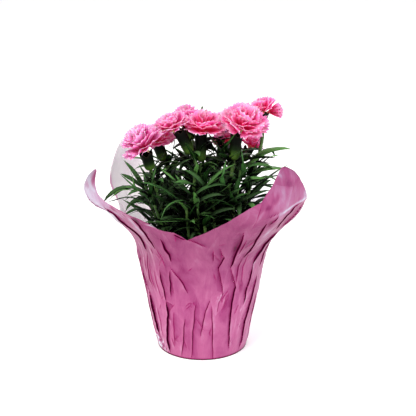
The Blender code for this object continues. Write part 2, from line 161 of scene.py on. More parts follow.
def setRamp(node, *stops):
    # Colour stops as (place, hex).
    ramp = node.color_ramp
    while len(ramp.elements) < len(stops):
        ramp.elements.new(0.5)
    for element, (place, code) in zip(ramp.elements, stops):
        element.position = place
        element.color = linear(code)
    return node


def pearlFoil():
    # Aluminium foil on paper, lacquered pink and pressed over a form, with a satin pearl face. Its
    # colour carries painted light: pale as painted highlight where it turns towards the light,
    # clouded lighter and darker as painted reflection, and maroon with painted shade in its folds.
    made, tree, shader = newMaterial("lacqueredPearlFoil", specular=0.22)
    shade, sheet, line = (addNode(tree, "ShaderNodeAttribute", attribute_name=name).outputs["Fac"]
                          for name in ("shade", "sheet", "crease"))
    place = addNode(tree, "ShaderNodeTexCoord").outputs["Object"]
    streaked = addNode(tree, "ShaderNodeMapping", {"Vector": place, "Scale": (1, 1, 0.42)})
    cloud = addNode(tree, "ShaderNodeTexNoise", {
        "Vector": streaked, "Scale": perSize(20), "Detail": 5, "Roughness": 0.66,
        "Distortion": 0.5})
    # Long facets about 15 mm across, where the sheet was creased, each painted a little lighter or
    # darker: painted light on facets turned this way and that.
    panel = addNode(tree, "ShaderNodeTexVoronoi", {"Vector": streaked, "Scale": perSize(15)})
    panelTone = addNode(tree, "ShaderNodeSeparateColor", [panel.outputs["Color"]])
    facetShading = addNode(tree, "ShaderNodeMath", [panelTone, 0.12, 0.05], operation="MULTIPLY_ADD")
    # shade runs from 1, deep in a fold, to -1, where the sheet turns pale towards the light.
    clouded = addNode(tree, "ShaderNodeMath", [cloud, 0.75, facetShading], operation="MULTIPLY_ADD")
    level = addNode(tree, "ShaderNodeMath", [shade, -0.42, clouded], operation="MULTIPLY_ADD")
    tone = setRamp(
        addNode(tree, "ShaderNodeValToRGB", [level]),
        (0.0, "#58083a"), (0.14, "#861b5a"), (0.27, "#9b3570"), (0.42, "#ad5085"),
        (0.56, "#bc6393"), (0.70, "#c985ad"), (0.85, "#d3bbd2"), (1.0, "#dfe4ef"))
    # The sheet is greyer round the rim of the pot than below and on the flaps: a painted grey
    # reflection where the wall leans out. Its sheet attribute is the distance from its middle in
    # millimetres.
    fullReach = 300.0
    outwards = addNode(tree, "ShaderNodeMath", [sheet, fullReach], operation="DIVIDE")
    rimGreyReflection = setRamp(addNode(tree, "ShaderNodeValToRGB", [outwards]), (0.36, "#fafafa"),
                      (0.60, "#cdc8cb"), (0.68, "#d0c9cd"), (0.78, "#dac8d6"))
    body = addNode(tree, "ShaderNodeMix", {0: 1.0, 6: tone, 7: rimGreyReflection},
                   data_type="RGBA", blend_type="MULTIPLY")
    # Painted shade along each folded line: it rises above 0 at the line's edge and reaches 1 in the
    # middle of it; a maroon halo of painted shade starts just outside it and its core turns almost
    # black.
    edged = addNode(tree, "ShaderNodeMapRange", {"Value": line, "From Min": -0.3, "From Max": 0.6})
    creaseShadeHalo = addNode(tree, "ShaderNodeMix", {0: edged, 6: body, 7: linear("#9a1a62")},
                      data_type="RGBA")
    crease = addNode(tree, "ShaderNodeMapRange", {"Value": line, "From Min": 0.3, "From Max": 0.9})
    creaseShadowed = addNode(tree, "ShaderNodeMix", {0: crease, 6: creaseShadeHalo, 7: linear("#4c0029")},
                    data_type="RGBA")
    bright = addNode(tree, "ShaderNodeMapRange", {"Value": crease, "To Min": 0.35, "To Max": 1.0})
    wrinkle = addNode(tree, "ShaderNodeTexVoronoi", {"Vector": streaked, "Scale": perSize(6)},
                      feature="DISTANCE_TO_EDGE")
    fine = addNode(tree, "ShaderNodeTexNoise", {
        "Vector": place, "Scale": perSize(2.2), "Detail": 3})
    ridge = addNode(tree, "ShaderNodeMath", [wrinkle, 0.12], operation="MINIMUM")
    ridges = addNode(tree, "ShaderNodeMath", [fine, 0.12, ridge], operation="MULTIPLY_ADD")
    bump = addNode(tree, "ShaderNodeBump", {
        "Strength": 0.6, "Distance": 1.6 * mm, "Height": ridges})
    haze = addNode(tree, "ShaderNodeMapRange", {"Value": cloud, "To Min": 0.48, "To Max": 0.32})
    dulled = addNode(tree, "ShaderNodeMath", [crease, 0.5, haze], operation="MULTIPLY_ADD")
    feed(shader, {"Base Color": creaseShadowed, "Metallic": bright, "Normal": bump, "Roughness": dulled})
    return made


def backingPaper():
    # Bleached tissue behind the foil: matt, faintly lilac from the lacquer, creased by the folds
    # and darkened with painted shade along them, with a faint emission that paints the light coming
    # through it as a glow.
    made, tree, shader = newMaterial("bleachedBackingPaper", roughness=0.75, specular=0.3,
                                     Emission_Color=linear("#f3e8f2"), Emission_Strength=0.17)
    place = addNode(tree, "ShaderNodeTexCoord").outputs["Object"]
    cloud = addNode(tree, "ShaderNodeTexNoise", {
        "Vector": place, "Scale": perSize(18), "Detail": 5, "Roughness": 0.6})
    tone = setRamp(addNode(tree, "ShaderNodeValToRGB", [cloud]),
                   (0.34, "#ece0e9"), (0.52, "#f4eef4"), (0.70, "#fbf9fb"))
    # Painted shade along the foil's creases darkens the paper with them.
    crease = addNode(tree, "ShaderNodeAttribute", attribute_name="crease").outputs["Fac"]
    creaseShaded = addNode(tree, "ShaderNodeMix", {0: crease, 6: tone, 7: linear("#b4709c")},
                   data_type="RGBA")
    fibre = addNode(tree, "ShaderNodeTexNoise", {
        "Vector": place, "Scale": perSize(1.5), "Detail": 4})
    bump = addNode(tree, "ShaderNodeBump", {
        "Strength": 0.25, "Distance": 0.3 * mm, "Height": fibre})
    feed(shader, {"Base Color": creaseShaded, "Normal": bump})
    return made


def petalMaterial():
    # A dianthus petal: velvety, deep pink down at the claw, paler towards its toothed edge, with
    # fine veins fanning out. Light that has passed through the thin petals around keeps the
    # folds between them red: subsurface scattering, and a faint pink emission that paints that
    # light as a glow.
    made, tree, shader = newMaterial(
        "dianthusPetal", roughness=0.6, specular=0.2, Subsurface_Weight=0.85,
        Subsurface_Scale=2.5 * mm, Subsurface_Radius=(1.0, 0.30, 0.55),
        Emission_Color=linear("#ff1f63"), Emission_Strength=0.07)
    along, across, tint, cool = (
        addNode(tree, "ShaderNodeAttribute", attribute_name=name).outputs["Fac"]
        for name in ("along", "across", "tint", "cool"))
    warm = setRamp(addNode(tree, "ShaderNodeValToRGB", [along]),
                   (0.05, "#e9e0a4"), (0.20, "#ea8a7c"), (0.34, "#e41852"), (0.58, "#ec5289"),
                   (0.86, "#f182ad"), (1.0, "#f5adca"))
    # The lilac ramp is darker and cooler: painted light for the cooler, dimmer light that the left
    # flowers stand in.
    lilac = setRamp(addNode(tree, "ShaderNodeValToRGB", [along]),
                    (0.05, "#ece4ae"), (0.20, "#d98e7c"), (0.34, "#ae2458"), (0.58, "#c45a90"),
                    (0.86, "#da8eb9"), (1.0, "#e8b4d4"))
    chosen = addNode(tree, "ShaderNodeMix", {0: cool, 6: warm, 7: lilac}, data_type="RGBA")
    # Veins: lines of constant place across the petal, so that they fan out with it.
    veinPlace = addNode(tree, "ShaderNodeCombineXYZ", [across, along, tint])
    stretched = addNode(tree, "ShaderNodeMapping", {"Vector": veinPlace, "Scale": (12, 0.9, 30)})
    veins = addNode(tree, "ShaderNodeTexNoise", {"Vector": stretched, "Scale": 1.0, "Detail": 3})
    veinTone = addNode(tree, "ShaderNodeMapRange", {
        "Value": veins, "From Min": 0.35, "From Max": 0.65, "To Min": 0.84, "To Max": 1.12})
    petalTone = addNode(tree, "ShaderNodeMapRange", {"Value": tint, "To Min": 0.86, "To Max": 1.08})
    level = addNode(tree, "ShaderNodeMath", [veinTone, petalTone], operation="MULTIPLY")
    shaded = addNode(tree, "ShaderNodeHueSaturation", {"Value": level, "Color": chosen})
    bump = addNode(tree, "ShaderNodeBump", {
        "Strength": 0.35, "Distance": 0.3 * mm, "Height": veins})
    feed(shader, {"Base Color": shaded, "Normal": bump})
    return made


def calyxMaterial():
    # The calyx tube: waxy, ribbed, light green at its bracts and almost black-green towards its
    # mouth, where the head above casts painted shade; brownish at the very rim.
    made, tree, shader = newMaterial("dianthusCalyx", roughness=0.6, specular=0.1)
    along = addNode(tree, "ShaderNodeAttribute", attribute_name="along").outputs["Fac"]
    place = addNode(tree, "ShaderNodeTexCoord").outputs["Object"]
    tone = setRamp(addNode(tree, "ShaderNodeValToRGB", [along]),
                   (0.0, "#5d7c30"), (0.24, "#436424"), (0.46, "#17280f"), (0.66, "#050904"),
                   (0.94, "#080a05"), (1.0, "#231b10"))
    cloud = addNode(tree, "ShaderNodeTexNoise", {"Vector": place, "Scale": perSize(4), "Detail": 3})
    level = addNode(tree, "ShaderNodeMapRange", {"Value": cloud, "To Min": 0.7, "To Max": 1.35})
    shaded = addNode(tree, "ShaderNodeHueSaturation", {"Value": level, "Color": tone})
    bump = addNode(tree, "ShaderNodeBump", {"Strength": 0.3, "Distance": 0.3 * mm, "Height": cloud})
    feed(shader, {"Base Color": shaded, "Normal": bump})
    return made


def leafMaterial():
    # A narrow dianthus leaf: dark and faintly waxy above with a pale midrib line, greyer beneath.
    made, tree, shader = newMaterial(
        "waxyDianthusLeaf", specular=0.10, Subsurface_Weight=0.08, Subsurface_Scale=1.0 * mm,
        Subsurface_Radius=(0.4, 1.0, 0.2))
    along, across, face, tint = (
        addNode(tree, "ShaderNodeAttribute", attribute_name=name).outputs["Fac"]
        for name in ("along", "across", "face", "tint"))
    place = addNode(tree, "ShaderNodeTexCoord").outputs["Object"]
    green = setRamp(addNode(tree, "ShaderNodeValToRGB", [tint]), (0.0, "#010501"),
                    (0.35, "#051305"), (0.60, "#12310c"), (0.80, "#305a2a"), (1.0, "#598642"))
    pale = setRamp(addNode(tree, "ShaderNodeValToRGB", [along]),
                   (0.0, "#c9d8a0"), (0.22, "#ffffff"), (0.85, "#f2f2f2"), (1.0, "#cfd8c8"))
    toned = addNode(tree, "ShaderNodeMix", {0: 1.0, 6: green, 7: pale}, data_type="RGBA",
                    blend_type="MULTIPLY")
    # across runs -1 to 1 over the blade, and face is above 0 on its upper side.
    ribWidth, underFrom = 0.12, -0.05
    rib = addNode(tree, "ShaderNodeMath", [across, 0.0, ribWidth], operation="COMPARE")
    ribShare = addNode(tree, "ShaderNodeMath", [rib, 0.5], operation="MULTIPLY")
    ribbed = addNode(tree, "ShaderNodeMix", {0: ribShare, 6: toned, 7: linear("#3f6430")},
                     data_type="RGBA")
    under = addNode(tree, "ShaderNodeMath", [face, underFrom], operation="LESS_THAN")
    underShare = addNode(tree, "ShaderNodeMath", [under, 0.45], operation="MULTIPLY")
    backed = addNode(tree, "ShaderNodeMix", {0: underShare, 6: ribbed, 7: linear("#35502f")},
                     data_type="RGBA")
    cloud = addNode(tree, "ShaderNodeTexNoise", {"Vector": place, "Scale": perSize(6), "Detail": 4})
    # Leaves shut in by others are darkened, and open ones lightened, by an ambient occlusion node:
    # painted shade and painted light.
    occlusion = addNode(tree, "ShaderNodeAmbientOcclusion", {"Distance": 22 * mm}, samples=6)
    occlusionShading = addNode(tree, "ShaderNodeMapRange", {
        0: occlusion.outputs["AO"], 1: 0.40, 2: 0.88, 3: 0.0, 4: 2.0})
    cloudy = addNode(tree, "ShaderNodeMapRange", {"Value": cloud, "To Min": 0.75, "To Max": 1.25})
    level = addNode(tree, "ShaderNodeMath", [cloudy, occlusionShading], operation="MULTIPLY")
    shaded = addNode(tree, "ShaderNodeHueSaturation", {"Value": level, "Color": backed})
    bloom = addNode(tree, "ShaderNodeMapRange", {"Value": cloud, "To Min": 0.38, "To Max": 0.62})
    feed(shader, {"Base Color": shaded, "Roughness": bloom})
    return made


def mottle(tree, shader, noiseLook, *stops):
    # Colours a material by one noise, given as feature size, detail and roughness.
    size, detail, rough = noiseLook
    place = addNode(tree, "ShaderNodeTexCoord").outputs["Object"]
    cloud = addNode(tree, "ShaderNodeTexNoise", {
        "Vector": place, "Scale": perSize(size), "Detail": detail, "Roughness": rough})
    feed(shader, {"Base Color": setRamp(addNode(tree, "ShaderNodeValToRGB", [cloud]), *stops)})
    return place, cloud


def stemMaterial():
    # A dianthus stem: smooth, waxy, lighter green than the leaves.
    made, tree, shader = newMaterial("waxyDianthusStem", roughness=0.4, specular=0.45)
    mottle(tree, shader, (9, 3, 0.5), (0.3, "#3a5a2c"), (0.5, "#4f7337"), (0.7, "#6c8f48"))
    return made


def peatMaterial():
    # Damp peat mix: matt, dark brown, flecked with bark.
    made, tree, shader = newMaterial("dampPeatMix", roughness=0.92, specular=0.2)
    _, grain = mottle(tree, shader, (2.2, 5, 0.7), (0.30, "#17100c"), (0.50, "#2d2018"),
                      (0.66, "#4a3626"), (0.80, "#6d5238"))
    bump = addNode(tree, "ShaderNodeBump", {"Strength": 0.8, "Distance": 0.8 * mm, "Height": grain})
    feed(shader, {"Normal": bump})
    return made


def perliteMaterial():
    # Expanded perlite: chalk white, pitted, dulled by the damp peat.
    made, tree, shader = newMaterial("expandedPerlite", roughness=0.9, specular=0.2)
    mottle(tree, shader, (0.8, 3, 0.5), (0.35, "#a89f90"), (0.6, "#dcd8cf"))
    return made


def mouldedPlastic():
    # Black polypropylene, injection moulded: a low sheen, a fine skin and a few pale scuffs.
    made, tree, shader = newMaterial("mouldedPolypropylene", roughness=0.5, specular=0.5)
    place, scuff = mottle(tree, shader, (11, 6, 0.75),
                          (0.40, "#151516"), (0.62, "#1f1f21"), (0.78, "#3a3a3c"))
    gloss = addNode(tree, "ShaderNodeMapRange", {"Value": scuff, "To Min": 0.38, "To Max": 0.68})
    skin = addNode(tree, "ShaderNodeTexNoise", {
        "Vector": place, "Scale": perSize(0.9), "Detail": 2})
    bump = addNode(tree, "ShaderNodeBump", {
        "Strength": 0.15, "Distance": 0.1 * mm, "Height": skin})
    feed(shader, {"Roughness": gloss, "Normal": bump})
    return made


# Geometry Nodes plumbing

def newTree(name, sizes):
    # A node group with the named inputs given as {name: (kind, default)}, and its inputs' sockets.
    tree = bpy.data.node_groups.new(name, "GeometryNodeTree")
    for label, (kind, value) in sizes.items():
        socket = tree.interface.new_socket(label, in_out="INPUT", socket_type="NodeSocket" + kind)
        if value is not None:
            socket.default_value = value
    tree.interface.new_socket("Geometry", in_out="OUTPUT", socket_type="NodeSocketGeometry")
    return tree, tree.nodes.new("NodeGroupInput").outputs


def setCurve(node, first, *points):
    # A curve from the first point through the others to (1, 1).
    curve = node.mapping.curves[0]
    for point in points:
        curve.points.new(*point)
    curve.points[0].location = first
    curve.points[-1].location = (1, 1)
    node.mapping.update()
    return node


def closeTree(tree, shape):
    addNode(tree, "NodeGroupOutput", [addNode(tree, "GeometryNodeRealizeInstances", [shape])])


def treeMesh(name, tree, values, source=None, thickness=0):
    # The mesh that a tree makes, as plain faces. Inputs are set by identifier.
    item = bpy.data.objects.new(name, source or bpy.data.meshes.new(name))
    bpy.context.scene.collection.objects.link(item)
    step = item.modifiers.new("nodes", "NODES")
    step.node_group = tree
    for socket in tree.interface.items_tree:
        if socket.in_out == "INPUT" and socket.name in values:
            step[socket.identifier] = values[socket.name]
    if thickness:
        wall = item.modifiers.new("thickness", "SOLIDIFY")
        wall.thickness = thickness * mm
        wall.offset = 0
    depsgraph = bpy.context.evaluated_depsgraph_get()
    mesh = bpy.data.meshes.new_from_object(item.evaluated_get(depsgraph))
    bpy.data.objects.remove(item, do_unlink=True)
    mesh.name = name
    return mesh


def placePiece(name, mesh, slotName, *nodes):
    piece = bpy.data.objects.new(name, mesh)
    bpy.context.scene.collection.objects.link(piece)
    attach(piece, "root")
    if nodes:
        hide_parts(*nodes)
    return piece


# The foil cover

coverSizes = {
    "baseRadius": 46.0, "baseRings": (14, 27, 37, 43), "wallLean": 10.6, "foil": 0.3,
    # How many steps a line up the sheet is reckoned in, and the radii at which the lengths of
    # folds and crinkles round it are.
    "lineSteps": 240, "foldRadius": 62, "crinkleRadius": 66,
    # Where the flaps begin and how soon they are handled in full; how soon the folds and the
    # dents rise from the foot.
    "flap": (150, 60), "foldsFrom": 6, "dentsFrom": 12,
    # Columns in degrees and rows in shares of the way up: closest where folds are closest.
    "columnBands": ((195, 345, 0.5), (345, 555, 1.5)), "rowBands": ((0, 0.40, 30), (0.40, 1.0, 74)),
    # Each station up the sheet: azimuth, reach from the sheet's middle, how square its corner is
    # cut, and (distance from the middle, lean from the vertical in degrees).
    "stations": (
        (258, 188, 0, ((147, 10.6), (176, 13), (195, 20), (235, 40))),
        (318, 268, 5.5, ((146, 10.6), (176, 40), (214, 40), (238, 4), (268, -18))),
        (364, 193, 0, ((150, 10.6), (178, 40), (205, 46), (240, 30))),
        (412, 228, 10, ((138, 10.6), (165, 50), (190, 82), (228, 112))),
        (456, 190, 0, ((142, 10.6), (172, 20), (200, 30), (235, 40))),
        (498, 262, 10, ((142, 10.6), (170, 44), (205, 44), (230, 8), (262, -8))),
        (530, 203, 0, ((150, 10.6), (176, 46), (205, 46), (240, 10))),
        (560, 262, 10, ((146, 10.6), (172, 44), (214, 46), (236, 0), (262, -36)))),
    # How much further the rim reaches than the solid's: (azimuth, millimetres).
    "rimShift": (
        (212, 0), (220, 5.5), (231, 6), (240, 0.5), (250, 2.5), (255, 0), (259, -4), (265, -1),
        (284, 2), (290, 5), (295, 4.5), (300, 0), (303, 3.5), (306, 3), (310, 4.5), (313, 5),
        (316, 2.5), (319, -1), (326, -3.5), (334, -2), (342, 0), (505, 0), (510, 1.5), (513, 0),
        (516, -7), (520, -13), (526, -15), (532, -11), (540, 0),
    ),
    # Where the sheet is drawn in, or out if below 0: azimuth and distance, the spread round in
    # degrees and up in millimetres, and how far.
    "drawnIn": ((207, 179, 20, 28, 8.5), (196, 240, 26, 20, -1.5), (202, 215, 20, 14, 6),
                (336, 223, 10, 8, 2.5)),
    # Each kind of fold: the height of its lip, how far the lip takes to die away, the darkness of
    # the painted shade in it and half the width of that dark line.
    "foldKinds": {"gash": (1.7, 9.0, 1.0, 0.60), "pleat": (1.3, 8.0, 0.90, 0.50),
                  "slit": (0.3, 4.0, 1.0, 0.55), "cut": (0.6, 6.0, 1.0, 0.90),
                  "fold": (1.0, 6.5, 0.84, 0.46), "crinkle": (0.6, 4.0, 0.68, 0.43),
                  "scratch": (0.4, 2.5, 0.45, 0.40), "shadeBand": (0.0, 4.0, 0.20, 2.2)},
    # A fold in section: the width of its lip's steep side, the depth of the dip behind it as a
    # share of the lip, and how far the dip takes to die away; then its groove's depth, place and
    # width.
    "dip": (0.8, 0.3, 3.5), "groove": (0.5, 0.5, 0.7),
    # The painted shade beside a fold and the painted light on its lip, as strength and reach, and
    # the painted contact shadow round the foot of the cover, a dark line, as level and width.
    "foldShade": (0.8, 2.4), "lipLight": (0.4, 2.0), "footShadowLine": (1.3, 1.6),
    # How far from its ends a fold's height, its painted shade and a bright line's strength fade.
    "endRuns": (7, 4, 5),
    # The folds at the front, listed: kind, side of the raised lip, (azimuth, distance) along it.
    "frontFolds": (
        ("cut", -1, ((226, 212), (228, 200), (228, 190), (229, 180), (231, 170))),
        ("gash", -1, ((212, 226), (213, 205), (214, 190), (214, 176), (213, 166), (213, 158))),
        ("fold", -1, ((196, 238), (203, 228), (212, 219))),
        ("crinkle", -1, ((213, 158), (211, 148), (212, 138), (213, 130), (215, 122))),
        ("crinkle", -1, ((222, 217), (222, 211))),
        ("pleat", -1, ((190, 160), (192, 142), (195, 126), (203, 113))),
        ("gash", -1, ((203, 113), (206, 105), (208, 92), (210, 77), (210, 65))),
        ("gash", -1, ((239, 183), (241, 173), (244, 166), (244, 159))),
        ("fold", -1, ((242, 148), (241, 132), (239, 118))),
        ("fold", -1, ((231, 146), (231, 138), (232, 127), (232, 110))),
        ("gash", -1, ((232, 110), (233, 96), (230, 83), (227, 67), (226, 49))),
        ("crinkle", 1, ((232, 110), (240, 108))),
        ("fold", -1, ((243, 151), (250, 141), (254, 134), (257, 125))),
        ("crinkle", -1, ((225, 168), (226, 162))),
        ("scratch", -1, ((214, 152), (216, 136), (219, 120))),
        ("scratch", -1, ((222, 142), (224, 126), (226, 112))),
        ("scratch", -1, ((205, 152), (208, 136))),
        ("scratch", -1, ((232, 172), (236, 160), (237, 150))),
        ("scratch", -1, ((217, 100), (219, 84), (219, 66))),
        ("scratch", -1, ((240, 100), (238, 84), (236, 60))),
        ("cut", 1, ((250, 190), (253, 188), (257, 185))),
        ("slit", -1, ((258, 185), (262, 184), (268, 181), (274, 178))),
        ("crinkle", -1, ((252, 94), (250, 79), (248, 65), (244, 50))),
        ("crinkle", -1, ((264, 112), (262, 94), (260, 80), (259, 65), (257, 50))),
        ("scratch", -1, ((254, 109), (258, 114), (261, 114), (264, 110))),
        ("scratch", -1, ((254, 106), (258, 110), (261, 109))),
        ("crinkle", 1, ((278, 117), (274, 105), (271, 90), (269, 74))),
        ("crinkle", 1, ((280, 110), (281, 92), (282, 70), (284, 47))),
        ("fold", 1, ((279, 174), (279, 162))),
        ("crinkle", 1, ((280, 170), (285, 161))),
        ("fold", 1, ((283, 178), (288, 166), (286, 160), (284, 154), (287, 137), (290, 123))),
        ("scratch", -1, ((294, 121), (292, 112), (289, 103))),
        ("scratch", -1, ((290, 124), (286, 112), (285, 102))),
        ("gash", 1, ((296, 200), (297, 190), (297, 178), (296, 164), (295, 152))),
        ("pleat", 1, ((295, 152), (299, 139), (302, 129), (300, 113), (300, 104), (301, 84),
                       (302, 73), (305, 55))),
        ("crinkle", 1, ((300, 190), (299, 170))),
        ("crinkle", 1, ((309, 189), (304, 182), (301, 177))),
        ("cut", 1, ((307, 214), (307, 204), (307, 190), (308, 178), (308, 170), (304, 163))),
        ("fold", 1, ((306, 222), (309, 226), (312, 227))),
        ("fold", 1, ((309, 211), (311, 218), (312, 224))),
        ("scratch", -1, ((292, 197), (295, 200))),
        ("crinkle", 1, ((303, 160), (302, 146), (302, 135))),
        ("scratch", 1, ((309, 168), (307, 150), (308, 132))),
        ("gash", 1, ((330, 190), (326, 178), (325, 165), (321, 155), (320, 148))),
        ("pleat", 1, ((320, 148), (319, 133), (316, 122), (316, 106))),
        ("pleat", 1, ((332, 132), (330, 122), (328, 104), (324, 81), (326, 59), (323, 51))),
        ("fold", 1, ((340, 170), (336, 156), (335, 140))),
        ("crinkle", 1, ((342, 110), (342, 84), (352, 49))),
        ("cut", 1, ((330, 229), (324, 226), (320, 219), (319, 210), (321, 198))),
        ("fold", 1, ((338, 224), (333, 217), (329, 208), (327, 196))),
        # A soft band of painted maroon shade along the flap's turned edge, with no lip.
        ("shadeBand", 1, ((340, 231), (334, 223), (329, 216), (325, 206), (324, 194))),
        ("scratch", -1, ((300, 243), (300, 229), (300, 209))),
        ("cut", 1, ((509, 230), (513, 219), (516, 206), (518, 200))),
    ),
    # The folds round the sides and back, by rule: from and to which azimuth, how far apart, where
    # they start up the sheet, how long they are and how far they drift round; the share of them
    # with a second fold above and where that starts; then the crinkles' number, place and length.
    "backAzimuths": (-4.0, 196), "backFoldStep": 8.5, "backStarts": (48, 48, 56, 96),
    "backLength": (50, 105), "backDrift": 4, "secondShare": 0.6, "secondStart": (150, 172),
    "crinkles": 130, "crinklePlace": (56, 190), "crinkleLength": (5, 15), "seed": 11,
    # Bright lines, where a lip or a ridge catches the light: half width, strength and the line.
    "glints": (
        (1.3, 1.3, ((193, 257), (200, 250), (209, 243))),
        (1.6, 0.5, ((200, 165), (203, 142), (207, 126))),
        (1.2, 0.5, ((212, 164), (214, 146), (217, 130))),
        (1.2, 0.4, ((222, 166), (224, 150), (227, 134))),
        (2.4, 0.7, ((224, 212), (225, 198), (226, 184))),
        (1.0, 0.4, ((235, 106), (236, 96), (233, 82))),
        (0.9, 1.6, ((232, 203), (236, 201), (240, 195))),
        (1.2, 0.4, ((214, 100), (216, 84), (216, 66))),
        (1.7, 1.1, ((334, 233), (324, 230), (313, 225))), (0.9, 1.5, ((307, 268), (312, 262))),
        (1.2, 0.4, ((330, 178), (324, 160), (319, 142), (315, 122))),
        (1.6, 0.4, ((303, 238), (300, 212))), (1.2, 0.35, ((337, 168), (334, 150), (332, 138))),
        (1.0, 0.25, ((308, 124), (309, 104), (308, 80))),
        (1.2, 0.3, ((318, 118), (316, 96), (314, 70))), (1.2, 0.8, ((315, 104), (311, 97))),
    ),
    # Soft spots of painted light and shade: azimuth, distance, half width, half height and tone,
    # above 0 for maroon painted shade and below 0 for silver painted highlight and reflection.
    "shadeAndLightSpots": (
        (203, 224, 26, 34, -1.5), (196, 246, 20, 18, -0.35), (205, 258, 5, 8, 1.0),
        (199, 245, 9, 3, 0.5), (228, 208, 2.5, 5, 1.5), (218, 223, 2.2, 4, 1.4),
        (209, 200, 16, 30, -0.4), (305, 165, 4, 3, 0.7), (303, 160, 1.2, 1.8, 1.0),
        (294, 178, 2.2, 7, 0.6), (301, 184, 2.5, 6, 0.5), (310, 214, 3.5, 5, 1.0),
        (318, 240, 30, 24, -0.5), (318, 254, 10, 4, 0.35), (309, 243, 2.4, 4.5, 0.5),
        (307, 240, 3, 4, 0.6), (304, 233, 4, 3, 0.7), (315, 243, 3, 9, 0.35),
        (313, 264, 8, 6, -0.35), (292, 212, 16, 10, 0.3), (330, 238, 8, 9, -0.5),
        (313, 196, 4, 12, -0.6), (326, 210, 8, 16, 0.4), (328, 178, 5, 7, 0.8),
        (255, 150, 7, 5, 0.3), (262, 138, 9, 5, 0.25), (270, 152, 6, 5, 0.2),
        (248, 160, 5, 4, 0.2), (275, 132, 6, 4, 0.25), (284, 142, 5, 8, 0.2),
        (268, 62, 26, 16, -0.1), (222, 54, 8, 6, -0.2),
    ),
    # Foil crushed by handling, its crumples painted with pale highlights: azimuth, distance, reach
    # and strength.
    "crushed": ((205, 62, 8, 1.2), (206, 55, 9, 1.6), (212, 50, 7, 1.4), (300, 170, 5, 0.3),
                (290, 118, 7, 0.3)),
    # Dents as (size, depth) in millimetres: broad ones, then the facets of handled foil.
    "broadDent": (42, 1.6), "facet": (13, 0.75), "smallFacet": (6, 0.22), "crush": (2.6, 1.1),
    "wobble": (9, 0.7),
}


def tableAt(place, table, *beyond):
    # What a table of (place, value) gives at a place; beyond its ends, the two values after it.
    return np.interp(place, *zip(*table), *beyond)


def turnFrom(azimuth, start):
    # The turn in degrees from one azimuth to another, from -180 to 180.
    return (azimuth - start + 180) % 360 - 180


def coverStation(azimuth):
    # The stations beside an azimuth and the share of the way between them, as in the solid cover.
    stations = coverSizes["stations"]
    for i, before in enumerate(stations):
        after = stations[(i + 1) % len(stations)]
        share = ((azimuth - before[0]) % 360) / ((after[0] - before[0]) % 360)
        if share < 1:
            return before, after, share


def coverLine(azimuth, rows):
    # Distance in the sheet, radius and height at each row, up one azimuth.
    before, after, share = coverStation(azimuth)
    low, high = sorted((before[1], after[1]))
    turn = math.radians(45 * (share if before[1] < after[1] else 1 - share))
    n = max(before[2], after[2])
    square = (math.cos(turn) ** n + math.sin(turn) ** n) ** (-1 / n)
    reach = low + (high - low) * (square - 1) / (2 ** (0.5 - 1 / n) - 1)
    reach += tableAt(azimuth, coverSizes["rimShift"], 0, 0)
    weight = share * share * (3 - 2 * share)
    start = coverSizes["baseRadius"]
    steps = np.linspace(start, reach, coverSizes["lineSteps"])
    middle = (steps[1:] + steps[:-1]) / 2
    first, second = (tableAt(middle, ((0, coverSizes["wallLean"]), *station[3]))
                     for station in (before, after))
    lean = np.radians((1 - weight) * first + weight * second)
    width = steps[1] - steps[0]
    radius = start + np.concatenate(([0], np.cumsum(np.sin(lean) * width)))
    height = np.concatenate(([0], np.cumsum(np.cos(lean) * width)))
    distance = start + (reach - start) * rows
    return distance, np.interp(distance, steps, radius), np.interp(distance, steps, height)


def backFolds():
    # Folds round the sides and back, in the manner of the front ones.
    s = coverSizes
    rng = random.Random(s["seed"])
    folds = []
    azimuth, last = s["backAzimuths"]
    while azimuth < last:
        kind = rng.choice(("pleat", "pleat", "fold", "crinkle"))
        low = rng.choice(s["backStarts"])
        high = low + rng.uniform(*s["backLength"])
        side = rng.choice((-1, 1))
        drift = rng.uniform(-s["backDrift"], s["backDrift"])
        points = [(azimuth + drift * t + rng.uniform(-1, 1), low + (high - low) * t)
                  for t in (0, 0.3, 0.6, 0.85, 1)]
        folds.append((kind, side, points))
        if rng.random() < s["secondShare"]:
            top = rng.uniform(*s["secondStart"])
            points = [(azimuth + 4 + rng.uniform(-2, 2), top + 14 * i) for i in range(4)]
            folds.append((rng.choice(("pleat", "fold")), -side, points))
        azimuth += s["backFoldStep"] * rng.uniform(0.8, 1.25)
    # Short crinkles from handling, all the way round.
    for _ in range(s["crinkles"]):
        around, up = rng.uniform(0, 360), rng.uniform(*s["crinklePlace"])
        lean, length = rng.uniform(-1.0, 1.0), rng.uniform(*s["crinkleLength"])
        turn = math.sin(lean) * length / s["crinkleRadius"]
        step = (math.degrees(turn), math.cos(lean) * length)
        points = [(around + step[0] * t + rng.uniform(-0.8, 0.8), up + step[1] * t)
                  for t in (0, 0.5, 1)]
        folds.append(("scratch", rng.choice((-1, 1)), points))
    return folds


def aroundFrom(azimuth, start, radius):
    # How far round the sheet an azimuth is from another, in millimetres at this radius.
    return np.radians(turnFrom(azimuth, start)) * radius


def nearLine(points, azimuth, distance, radius):
    # From each point of the sheet to a line drawn on it: the gap, its side as a sign, and how far
    # along the line the nearest place is; then the line's length.
    nearest = np.full_like(radius, 1e9)
    side = np.zeros_like(radius)
    reached = np.zeros_like(radius)
    before = 0.0
    for a, b in zip(points, points[1:]):
        around = aroundFrom(azimuth, a[0], radius)
        up = distance - a[1]
        stepAround = np.radians(b[0] - a[0]) * radius
        stepUp = b[1] - a[1]
        share = np.clip((around * stepAround + up * stepUp) / (stepAround ** 2 + stepUp ** 2), 0, 1)
        gap = np.hypot(around - share * stepAround, up - share * stepUp)
        turn = np.sign(around * abs(stepUp) - up * stepAround * np.sign(stepUp or 1))
        length = math.hypot(math.radians(b[0] - a[0]) * coverSizes["foldRadius"], stepUp)
        closer = gap < nearest
        nearest = np.where(closer, gap, nearest)
        side = np.where(closer, turn, side)
        reached = np.where(closer, before + share * length, reached)
        before += length
    return nearest, side, reached, before


